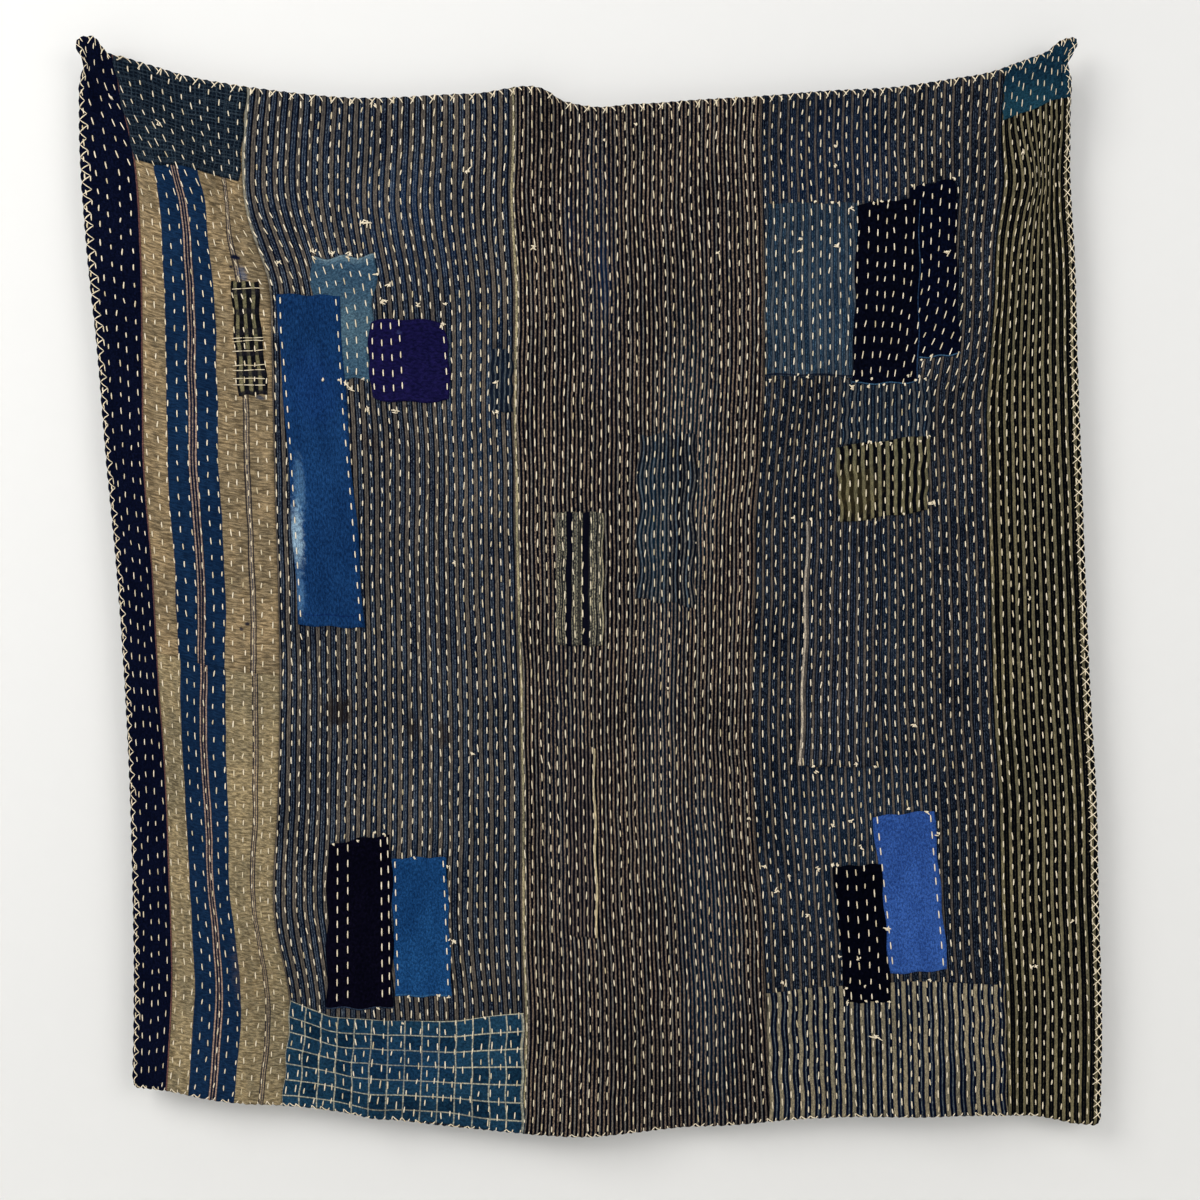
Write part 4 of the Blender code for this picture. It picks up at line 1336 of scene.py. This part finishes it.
def thread_shape(around, along):
    """One short thread as a mesh: its length along Z, its width along X and its height along Y, each 1."""
    shape = bmesh.new()
    bmesh.ops.create_uvsphere(shape, u_segments=around, v_segments=along, radius=0.5)
    for vert in shape.verts:
        vert.co.z = np.sign(vert.co.z) * 0.5 * abs(2 * vert.co.z) ** THREAD_BLUNTNESS
    mesh = bpy.data.meshes.new("thread")
    shape.to_mesh(mesh)
    shape.free()
    return mesh


def repeated(shape, count):
    """A mesh of many copies of a shape, made by an array, and the points of one copy."""
    holder = bpy.data.objects.new("holder", shape)
    bpy.context.scene.collection.objects.link(holder)
    array = holder.modifiers.new("array", "ARRAY")
    array.use_relative_offset = False
    array.count = count
    bpy.context.view_layer.update()
    graph = bpy.context.evaluated_depsgraph_get()
    mesh = bpy.data.meshes.new_from_object(holder.evaluated_get(graph))
    points = np.empty(len(shape.vertices) * 3)
    shape.vertices.foreach_get("co", points)
    bpy.data.objects.remove(holder, do_unlink=True)
    return mesh, points.reshape(-1, 3)


def add_threads(name, threads, shape_size, width, height, arch, material, side=1.0):
    """Short threads as one piece. A thread is (u, v, run in u, run in v, lift, tone), in mm on the flat
    cloth. Its middle stands up by arch, and side is 1 on the front and -1 on the back."""
    threads = np.array(threads, float)
    mesh, points = repeated(thread_shape(*shape_size), len(threads))
    across, up, along = points[:, 0], points[:, 1], points[:, 2]
    run_u, run_v = threads[:, 2:3], threads[:, 3:4]
    length = np.hypot(run_u, run_v)
    u = threads[:, 0:1] + along * run_u - across * width * run_v / length
    v = threads[:, 1:2] + along * run_v + across * width * run_u / length
    raised = arch * (1.0 - (2.0 * along) ** 2) + up * height
    lift = threads[:, 4:5] + side * raised
    place_points(mesh, hang(u.ravel(), v.ravel(), lift.ravel()))
    tones = np.repeat(threads[:, 5], len(points))
    mesh.attributes.new(TONE, "FLOAT", "POINT").data.foreach_set("value", tones)
    if side < 0:
        mesh.flip_normals()
    return add_object(name, mesh, material)


FOOT_MARGIN = 8.0
STITCH_SLIP = 1.6
STITCH_SPREAD = (0.7, 1.12)


def column_stitches(row, random):
    """The middles and lengths of one row's stitches, measured down the flat cloth."""
    middles = np.arange(ROWS.start[row], FLAT_LENGTH - FOOT_MARGIN, ROWS.step[row])
    middles = middles + random.uniform(-STITCH_SLIP, STITCH_SLIP, len(middles))
    lengths = ROWS.stitch[row] * random.uniform(*STITCH_SPREAD, len(middles))
    return middles, lengths


class BORO_OT_widths(bpy.types.Operator):
    """Weave the loom widths and hang them"""

    bl_idname = "boro.widths"
    bl_label = "Loom widths"

    def execute(self, context):
        rows_per_mm = MM / sizes().cell
        for loom in LOOMS:
            columns = loom.rows * COLUMNS_PER_ROW
            rows = round((loom.foot - loom.top) * rows_per_mm)
            mesh, right, below = net(columns, rows)
            across = right * loom.flat_width
            u = FLAT_SEAMS[loom.left_seam] + across
            v = loom.top + below * (loom.foot - loom.top)
            place_points(mesh, hang(u, v, relief(u, v)))
            add_flat_map(mesh, across, v)
            piece = add_object(loom.name + "_cloth", mesh, cloth_material(loom.name))
            thicken(piece, sizes().cloth)
            dress_node(loom.name)
        return {"FINISHED"}


def along_polyline(points, shares):
    """Places at shares of the way along a line of points."""
    points = np.array(points, float)
    steps = np.hypot(*np.diff(points, axis=0).T)
    reached = np.concatenate(([0.0], np.cumsum(steps))) / steps.sum()
    return np.stack([np.interp(shares, reached, points[:, axis]) for axis in (0, 1)], axis=1)


def kept_on_cloth(x, z):
    """Hung places, with those past the cloth's edge brought to the edge."""
    return hung_place(*flat_place(x, z))


def held_corners(patch):
    """The corners of a patch, with those past the cloth's edge brought to the edge."""
    x, z = kept_on_cloth(*np.array(patch.corners, float).T)
    return list(zip(x, z))


def patch_size(patch):
    """The width and height of a patch, in mm, as the means of its opposite sides."""
    corners = [np.array(corner) for corner in held_corners(patch)]
    last = patch.top_corners - 1
    top = np.hypot(*(corners[last] - corners[0]))
    foot = np.hypot(*(corners[last + 1] - corners[-1]))
    left = np.hypot(*(corners[-1] - corners[0]))
    right = np.hypot(*(corners[last + 1] - corners[last]))
    return (top + foot) / 2, (left + right) / 2


WORN_POWER = 4
SIDE_WAVES = 17.0
END_WAVES = 13.0


def patch_place(patch, right, below, uneven):
    """The hung x and z of shares of the way right and down a patch, with its sides a little uneven."""
    lost = (2 * right - 1) ** WORN_POWER * (2 * below - 1) ** WORN_POWER
    worn = 1.0 - ROUNDED.get(patch.name, 0.0) * lost
    right = 0.5 + (right - 0.5) * worn
    below = 0.5 + (below - 0.5) * worn
    corners = held_corners(patch)
    top = np.stack(kept_on_cloth(*along_polyline(corners[: patch.top_corners], right).T), axis=1)
    foot = np.stack(kept_on_cloth(*along_polyline(corners[: patch.top_corners - 1 : -1], right).T), axis=1)
    place = top + (foot - top) * below[:, None]
    x = place[:, 0] + uneven * np.sin(below * SIDE_WAVES + patch.corners[0][0]) * (2 * right - 1)
    z = place[:, 1] + uneven * np.sin(right * END_WAVES + patch.corners[0][1]) * (2 * below - 1)
    return x, z


PATCH_UNEVEN = 1.1
PATCH_EDGE_DROP = 0.3
PATCH_EDGE_REACH = 2.5


class BORO_OT_patches(bpy.types.Operator):
    """Cut the patches and lay them on the widths"""

    bl_idname = "boro.patches"
    bl_label = "Patches"

    def execute(self, context):
        cell = sizes().patch_cell / MM
        for patch in PATCHES:
            width, height = patch_size(patch)
            mesh, right, below = net(max(3, round(width / cell)), max(3, round(height / cell)))
            x, z = patch_place(patch, right, below, WAVY.get(patch.name, PATCH_UNEVEN))
            u, v = flat_place(x, z)
            edge = np.minimum(np.minimum(right, 1 - right) * width, np.minimum(below, 1 - below) * height)
            drop = PATCH_EDGE_DROP * np.exp(-edge / PATCH_EDGE_REACH)
            lift = relief(u, v) + patch_lift(patch) + sizes().patch / MM - drop
            place_points(mesh, hang(u, v, lift))
            add_flat_map(mesh, right * width, below * height)
            piece = add_object(patch.name + "_cloth", mesh, cloth_material(patch.name))
            thicken(piece, sizes().patch)
            dress_node(patch.name)
        return {"FINISHED"}


STITCH_SEED = 23
STITCH_ARCH = 0.5
BACK_ARCH = 0.3
STITCH_HEIGHT = 1.1
STITCH_SEAT = 0.05
STITCH_ASKEW = 0.6
STITCH_ASIDE = 0.5
ROW_SWAY = 1.1
ROW_SWAY_RUN = (45.0, 90.0)
ROW_TONE = (0.62, 0.26)
BACK_GAP = 2.0
BACK_SHORTEST = 4.0
OWN_ROW_START = (4.0, 14.0)
OWN_ROW_MARGIN = 4.0
OWN_ROW_SLIP = 1.5
OWN_ROW_TONE = (0.8, 0.15)
DARNING_SLIP = 0.8
DARNING_SEAT = 0.1
DARNING_TONE = (0.3, 0.8)
DARNING_THREAD = (1.2, 0.9, 0.3)


def leans_at(u, v):
    """How far right stitches run for each mm down, at places of the flat cloth."""
    x, z = hung_place(u, v)
    total = np.zeros(len(u))
    for lean in LEANS:
        away = ((x - lean.x) / lean.reach_x) ** 2 + ((z - lean.z) / lean.reach_z) ** 2
        total += lean.lean * np.exp(-away)
    return total


def piece_of_thread(start, end, lift, tone):
    """One thread between two places of the flat cloth."""
    (u1, v1), (u2, v2) = start, end
    return (u1 + u2) / 2, (v1 + v2) / 2, u2 - u1, v2 - v1, lift, tone


class BORO_OT_stitches(bpy.types.Operator):
    """Sew the rows of running stitch on the front and show their other side on the back"""

    bl_idname = "boro.stitches"
    bl_label = "Running stitches"

    def execute(self, context):
        random = np.random.default_rng(STITCH_SEED)
        thread = thread_material("running_thread")
        width = sizes().thread / MM
        back = -sizes().cloth / MM
        for strip in dict.fromkeys(ROWS.strip):
            front, behind = [], []
            for row in [index for index, name in enumerate(ROWS.strip) if name == strip]:
                middles, lengths = column_stitches(row, random)
                sway = np.sin(middles / random.uniform(*ROW_SWAY_RUN) + random.uniform(0, 2 * np.pi))
                u = ROWS.u[row] + ROW_SWAY * sway + random.normal(0.0, STITCH_ASIDE, len(middles))
                covered = cover_lift(u, middles)
                dip = relief(u, middles)
                free = ~left_out_of_rows(u, middles)
                leans = leans_at(u, middles) * lengths
                tones = np.clip(random.normal(*ROW_TONE, len(middles)), 0.0, 1.0)
                for index in np.flatnonzero(free):
                    lean = leans[index] + random.normal(0.0, STITCH_ASKEW)
                    lift = covered[index] + dip[index] + STITCH_SEAT
                    front.append((u[index], middles[index], lean, lengths[index], lift, tones[index]))
                halfway = middles[:-1] + ROWS.step[row] / 2
                gaps = np.maximum(ROWS.step[row] - lengths[:-1] - BACK_GAP, BACK_SHORTEST)
                dip = relief(u[:-1], halfway)
                for index in range(len(halfway)):
                    lift = back + dip[index] - STITCH_SEAT
                    behind.append((u[index], halfway[index], 0.0, gaps[index], lift, tones[index]))
            name = "stitches_right_of_" + strip.replace("_edge", "").replace("_seam", "")
            add_threads(name, front, THREAD_SHAPE, width, STITCH_HEIGHT, STITCH_ARCH, thread)
            name = "back_" + name
            add_threads(name, behind, BACK_THREAD_SHAPE, width, STITCH_HEIGHT, BACK_ARCH, thread, -1.0)
        self.sew_own_rows(random, thread, width)
        self.darn(random, thread)
        return {"FINISHED"}

    @staticmethod
    def darn(random, material):
        """The pale threads that hold the small dark patch together."""
        threads = []
        steps = np.linspace(DARNING_FROM, DARNING_TO, DARNING_PIECES + 1)
        for height in DARNING_HEIGHTS:
            z = height + random.uniform(-DARNING_SLIP, DARNING_SLIP, len(steps))
            u, v = flat_place(steps, z)
            lift = cover_lift(u, v).max() + DARNING_SEAT
            points = list(zip(u, v))
            for start, end in zip(points[:-1], points[1:]):
                threads.append(piece_of_thread(start, end, lift, random.uniform(*DARNING_TONE)))
        add_threads("darning", threads, THREAD_SHAPE, *DARNING_THREAD, material)

    @staticmethod
    def sew_own_rows(random, material, width):
        """The rows that hold the patches which the long rows leave out."""
        threads = []
        patches = {patch.name: patch for patch in PATCHES}
        for rows in OWN_ROWS:
            patch = patches[rows.patch]
            height = patch_size(patch)[1]
            for share in rows.shares:
                middles = np.arange(random.uniform(*OWN_ROW_START), height - OWN_ROW_MARGIN, rows.step)
                middles = middles + random.uniform(-OWN_ROW_SLIP, OWN_ROW_SLIP, len(middles))
                right = np.full(len(middles), share)
                half = rows.stitch / 2 / height
                start = flat_place(*patch_place(patch, right, middles / height - half, 0.0))
                end = flat_place(*patch_place(patch, right, middles / height + half, 0.0))
                u, v = (start[0] + end[0]) / 2, (start[1] + end[1]) / 2
                lift = cover_lift(u, v) + relief(u, v) + STITCH_SEAT
                tones = np.clip(random.normal(*OWN_ROW_TONE, len(u)), 0.0, 1.0)
                threads += list(zip(u, v, end[0] - start[0], end[1] - start[1], lift, tones))
        name = "stitches_on_plain_patches"
        add_threads(name, threads, THREAD_SHAPE, width, STITCH_HEIGHT, STITCH_ARCH, material)


def edge_place(side, along, depth):
    """The flat place at a distance along one side of the cloth and a depth in from it."""
    if side.name == "left":
        return depth, along
    if side.name == "right":
        return FLAT_WIDTH - depth, along
    if side.name == "top":
        return along, depth
    return along, FLAT_LENGTH - depth


# Ways to sew the edge. A depth is a share of the side's depth, a turn, an inner, a second or a return is a
# share of the step between two wraps, and a share is how often a way is taken.
HOOK_DEPTHS = (0.8, 1.12)
HOOK_TURNS = (0.35, 0.6)
HOOK_SHARE = 0.4
HOOK_UNEVEN = 0.5
CROSS_DEPTHS = (0.85, 1.1)
CROSS_FIRST = 0.12
CROSS_SECONDS = (0.8, 0.95)
CROSS_RETURNS = (0.85, 1.0)
SLANT_DEPTHS = (0.7, 1.15)
SLANT_TURNS = (-0.15, 0.45)
SLANT_SHARE = 0.35
SLANT_RETURNS = (0.7, 1.0)
FORK_DEPTHS = (0.8, 1.15)
FORK_TURNS = (0.35, 0.5)
FORK_INNERS = (0.0, 0.2)
FORK_LONG_DEPTHS = (1.2, 1.5)
FORK_RETURNS = (0.62, 0.78)


def hooked(side, step, index, random):
    """In and out again, with a short run along the inner end now and then."""
    begin = index * step
    depth = side.depth * random.uniform(*HOOK_DEPTHS)
    turn = begin + step * random.uniform(*HOOK_TURNS)
    start = edge_place(side, begin, -EDGE_OUT)
    inner = edge_place(side, turn, depth)
    yield start, inner
    yield inner, edge_place(side, begin + step, -EDGE_OUT)
    if random.random() < HOOK_SHARE:
        turn = turn + step * random.uniform(*HOOK_TURNS)
        yield inner, edge_place(side, turn, depth + random.normal(0, HOOK_UNEVEN))


def crossed(side, step, index, random):
    """Two threads that cross between the edge and their inner ends."""
    begin = index * step
    depth = side.depth * random.uniform(*CROSS_DEPTHS)
    first, second = begin + step * CROSS_FIRST, begin + step * random.uniform(*CROSS_SECONDS)
    yield edge_place(side, first, -EDGE_OUT), edge_place(side, second, depth)
    depth = depth * random.uniform(*CROSS_RETURNS)
    yield edge_place(side, second, -EDGE_OUT), edge_place(side, first, depth)


def slanted(side, step, index, random):
    """One short stitch at a slant, and often a second that meets it."""
    begin = index * step
    depth = side.depth * random.uniform(*SLANT_DEPTHS)
    inner = edge_place(side, begin + step * random.uniform(*SLANT_TURNS), depth)
    yield edge_place(side, begin, -EDGE_OUT), inner
    if random.random() < SLANT_SHARE:
        yield inner, edge_place(side, begin + step * random.uniform(*SLANT_RETURNS), -EDGE_OUT)


def forked(side, step, index, random):
    """One short stitch at a slant, with a longer one across every second."""
    begin = index * step
    depth = side.depth * random.uniform(*FORK_DEPTHS)
    turn = begin + step * random.uniform(*FORK_TURNS)
    yield edge_place(side, begin, -EDGE_OUT), edge_place(side, turn, depth)
    if int(index) % 2:
        turn = begin + step * random.uniform(*FORK_INNERS)
        inner = edge_place(side, turn, side.depth * random.uniform(*FORK_LONG_DEPTHS))
        yield edge_place(side, begin + step * random.uniform(*FORK_RETURNS), -EDGE_OUT), inner


EDGE_PATTERNS = {"hooked": hooked, "crossed": crossed, "slanted": slanted, "forked": forked}
EDGE_SEED = 37
EDGE_THREAD_HEIGHT = 1.1
EDGE_THREAD_ARCH = 0.35
EDGE_THREAD_SEAT = 0.15
EDGE_TONES = (0.5, 1.0)


class BORO_OT_edge_thread(bpy.types.Operator):
    """Overcast the edge all round with cream thread"""

    bl_idname = "boro.edge_thread"
    bl_label = "Edge thread"

    def execute(self, context):
        random = np.random.default_rng(EDGE_SEED)
        material = thread_material("edge_thread")
        form = (sizes().edge_thread / MM, EDGE_THREAD_HEIGHT, EDGE_THREAD_ARCH)
        for side in EDGE_SIDES:
            step = edge_step(side)
            sew = EDGE_PATTERNS[side.pattern]
            wraps = np.arange(side.wraps - 1) + 0.5
            lines = [line for wrap in wraps for line in sew(side, step, wrap, random)]
            for face, facing in (("front", 1.0), ("back", -1.0)):
                threads = [self.thread(line, facing, random) for line in lines]
                name = f"overcast_{side.name}_{face}"
                add_threads(name, threads, THREAD_SHAPE, *form, material, facing)
        return {"FINISHED"}

    @staticmethod
    def thread(line, facing, random):
        (u1, v1), (u2, v2) = line
        u, v = (u1 + u2) / 2, (v1 + v2) / 2
        point = np.array([np.clip(u, 0.0, FLAT_WIDTH)]), np.array([np.clip(v, 0.0, FLAT_LENGTH)])
        seat = cover_lift(*point)[0] if facing > 0 else -sizes().cloth / MM
        lift = relief(*point)[0] + seat + facing * EDGE_THREAD_SEAT
        return u, v, u2 - u1, v2 - v1, lift, random.uniform(*EDGE_TONES)


KNOT_SEED = 41
KNOT_STEP = 11.6
KNOT_SPREAD = 5.0
KNOT_OFF_X = 1.5
KNOT_OFF_Z = 2.0
KNOTS_LEFT_OUT_AT_FOOT = ("check_patch", "striped_corner_patch")
ENDS_AT_LEAST = 2
SPREAD_PER_END = 4
END_LENGTHS = (0.4, 1.0)
END_SHARE = 0.85
END_SCATTER = 6
END_LIFTS = (0.3, 1.6)
END_TONES = (0.6, 1.0)
KNOT_HEART = (0.6, 3.4)
KNOT_HEART_LIFT = 0.9
KNOT_HEART_TONE = 0.9
KNOT_THREAD = (1.7, 1.4, 0.5)


def edge_knots(random):
    """Small knots where stitch rows end at the edges of patches, as hung x and z with their spread."""
    knots = []
    for patch in PATCHES:
        share = KNOTTED.get(patch.name, 0.0)
        width = patch_size(patch)[0]
        count = max(2, round(width / KNOT_STEP))
        for below in (0.0, 1.0):
            right = (np.arange(count) + 0.5) / count
            right = right[random.random(count) < share]
            if not len(right) or (below == 1.0 and patch.name in KNOTS_LEFT_OUT_AT_FOOT):
                continue
            x, z = patch_place(patch, right, np.full(len(right), below), 0.0)
            x = x + random.normal(0, KNOT_OFF_X, len(x))
            z = z + random.normal(0, KNOT_OFF_Z, len(z))
            knots += list(zip(x, z, [KNOT_SPREAD] * len(x)))
    return knots


class BORO_OT_knots(bpy.types.Operator):
    """Leave the loose knots and thread ends on the front"""

    bl_idname = "boro.knots"
    bl_label = "Knots and ends"

    def execute(self, context):
        random = np.random.default_rng(KNOT_SEED)
        knots = np.array([*KNOTS, *edge_knots(random)], float)
        u, v = flat_place(knots[:, 0], knots[:, 1])
        lift = cover_lift(u, v)
        threads = []
        for index, spread in enumerate(knots[:, 2]):
            for _ in range(ENDS_AT_LEAST + int(spread / SPREAD_PER_END)):
                turn = random.uniform(0, 2 * np.pi)
                length = random.uniform(*END_LENGTHS) * spread * END_SHARE
                aside = random.normal(0.0, spread / END_SCATTER, 2)
                middle = (u[index] + aside[0], v[index] + aside[1])
                run = (np.cos(turn) * length, np.sin(turn) * length)
                height = lift[index] + random.uniform(*END_LIFTS)
                threads.append((*middle, *run, height, random.uniform(*END_TONES)))
            heart_lift = lift[index] + KNOT_HEART_LIFT
            threads.append((u[index], v[index], *KNOT_HEART, heart_lift, KNOT_HEART_TONE))
        add_threads("loose_knots", threads, THREAD_SHAPE, *KNOT_THREAD, thread_material("knot_thread"))
        return {"FINISHED"}


CAMERA_PLACE = (0.055, -2.1333, -0.646)
CAMERA_LENS = 50.0
SENSOR = 36.0
FLOOR_DROP = 0.14
BACKDROP_BEHIND = 0.03
BACKDROP_SIZE = 6.0
BACKDROP_ROUGHNESS = 0.95

# The lamps: where each stands and how wide it is, in metres, its power in watts and its colour
Lamp = namedtuple("Lamp", "name place size power colour")
LAMPS = (
    Lamp("window_light", (-1.9, -2.2, 0.9), 2.1, 67.0, (1.0, 0.99, 0.97)),
    Lamp("room_light", (1.9, -2.8, 0.2), 2.2, 36.0, (1.0, 0.98, 0.95)),
    Lamp("back_light", (1.6, 2.6, 0.4), 2.4, 60.0, (1.0, 0.99, 0.97)),
)
ROOM_COLOUR = (0.90, 0.93, 1.0, 1.0)
ROOM_STRENGTH = 0.46


def stage_plane(name, corner_low, corner_high, material):
    """A flat stage piece from a grid operator, fitted between two corners."""
    plane = bmesh.new()
    bmesh.ops.create_grid(plane, x_segments=1, y_segments=1, size=0.5)
    low, high = Vector(corner_low), Vector(corner_high)
    for vert in plane.verts:
        right, up = vert.co.x + 0.5, vert.co.y + 0.5
        share = Vector((right, 0.0, up)) if low.y == high.y else Vector((right, up, 0.0))
        vert.co = low + (high - low) * share
    mesh = bpy.data.meshes.new(name)
    plane.to_mesh(mesh)
    plane.free()
    mesh.materials.append(material)
    piece = bpy.data.objects.new(name, mesh)
    bpy.context.scene.collection.objects.link(piece)
    piece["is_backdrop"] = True
    return piece


def stage_material(name, lets_light_in):
    """A pale, matt surface, clear from behind so that it hides nothing in a view of the back. One that lets
    light in casts no shadow, so that a lamp behind it reaches the cloth's back."""
    material = bpy.data.materials.new(name)
    material.use_nodes = True
    tree = material.node_tree
    shades = Shades(tree)
    shader = tree.nodes["Principled BSDF"]
    shader.inputs["Base Color"].default_value = (*colours().backdrop, 1.0)
    shader.inputs["Roughness"].default_value = BACKDROP_ROUGHNESS
    clear = shades.node("ShaderNodeBsdfTransparent").outputs[0]
    behind = shades.node("ShaderNodeNewGeometry").outputs["Backfacing"]
    if lets_light_in:
        behind = shades.math("MAXIMUM", behind, shades.node("ShaderNodeLightPath").outputs["Is Shadow Ray"])
    both = tree.nodes.new("ShaderNodeMixShader")
    tree.links.new(behind, both.inputs[0])
    tree.links.new(shader.outputs[0], both.inputs[1])
    tree.links.new(clear, both.inputs[2])
    tree.links.new(both.outputs[0], tree.nodes["Material Output"].inputs["Surface"])
    return material


def add_lamp(lamp, target):
    light = bpy.data.lights.new(lamp.name, "AREA")
    light.shape = "DISK"
    light.size = lamp.size
    light.energy = lamp.power
    light.color = lamp.colour
    holder = bpy.data.objects.new(lamp.name, light)
    holder.location = lamp.place
    holder.rotation_euler = (Vector(target) - Vector(lamp.place)).to_track_quat("-Z", "Y").to_euler()
    bpy.context.scene.collection.objects.link(holder)


class BORO_OT_stage(bpy.types.Operator):
    """Set the pale floor and backdrop, the soft lights and the camera"""

    bl_idname = "boro.stage"
    bl_label = "Stage"

    def execute(self, context):
        scene = context.scene
        low, high = CAD_BOX
        floor = low[2] - FLOOR_DROP
        wall = high[1] + BACKDROP_BEHIND
        half = BACKDROP_SIZE / 2
        see_through = stage_material("backdrop", True)
        solid = stage_material("floor", False)
        stage_plane("backdrop", (-half, wall, floor), (half, wall, floor + BACKDROP_SIZE), see_through)
        stage_plane("floor", (-half, wall - BACKDROP_SIZE, floor), (half, wall, floor), solid)
        camera = bpy.data.cameras.new("camera")
        camera.lens = CAMERA_LENS
        camera.sensor_width = SENSOR
        holder = bpy.data.objects.new("camera", camera)
        holder.location = CAMERA_PLACE
        holder.rotation_euler = (np.pi / 2, 0.0, 0.0)
        scene.collection.objects.link(holder)
        scene.camera = holder
        middle = (CAMERA_PLACE[0], 0.0, CAMERA_PLACE[2])
        for lamp in LAMPS:
            add_lamp(lamp, middle)
        world = bpy.data.worlds.new("room")
        world.use_nodes = True
        room = world.node_tree.nodes["Background"].inputs
        room["Color"].default_value = ROOM_COLOUR
        room["Strength"].default_value = ROOM_STRENGTH
        scene.world = world
        scene.view_settings.view_transform = "Standard"
        return {"FINISHED"}


class BORO_PT_panel(bpy.types.Panel):
    """The cloth's steps in the sidebar"""

    bl_label = "Boro patched cloth"
    bl_idname = "BORO_PT_panel"
    bl_space_type = "VIEW_3D"
    bl_region_type = "UI"
    bl_category = "Boro"

    def draw(self, context):
        for group in (context.scene.cloth_sizes, context.scene.cloth_colours):
            for name in group.__annotations__:
                self.layout.prop(group, name)
        for step in STEPS:
            self.layout.operator(step.bl_idname)


STEPS = (
    BORO_OT_stage,
    BORO_OT_widths,
    BORO_OT_patches,
    BORO_OT_stitches,
    BORO_OT_edge_thread,
    BORO_OT_knots,
)
CLASSES = (ClothSizes, ClothColours, *STEPS, BORO_PT_panel)


def register():
    for each in CLASSES:
        bpy.utils.register_class(each)
    bpy.types.Scene.cloth_sizes = PointerProperty(type=ClothSizes)
    bpy.types.Scene.cloth_colours = PointerProperty(type=ClothColours)


def unregister():
    del bpy.types.Scene.cloth_colours
    del bpy.types.Scene.cloth_sizes
    for each in reversed(CLASSES):
        bpy.utils.unregister_class(each)


def write_sizes():
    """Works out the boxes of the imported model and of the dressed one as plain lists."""
    boxes = {"cad": CAD_BOX, "visual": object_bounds()}
    plain = {name: [[float(part) for part in corner] for corner in box] for name, box in boxes.items()}


def main():
    register()
    build_groups()
    bpy.ops.boro.stage()
    bpy.ops.boro.widths()
    bpy.ops.boro.patches()
    bpy.ops.boro.stitches()
    bpy.ops.boro.edge_thread()
    bpy.ops.boro.knots()
    write_sizes()


if __name__ == "__main__":
    main()
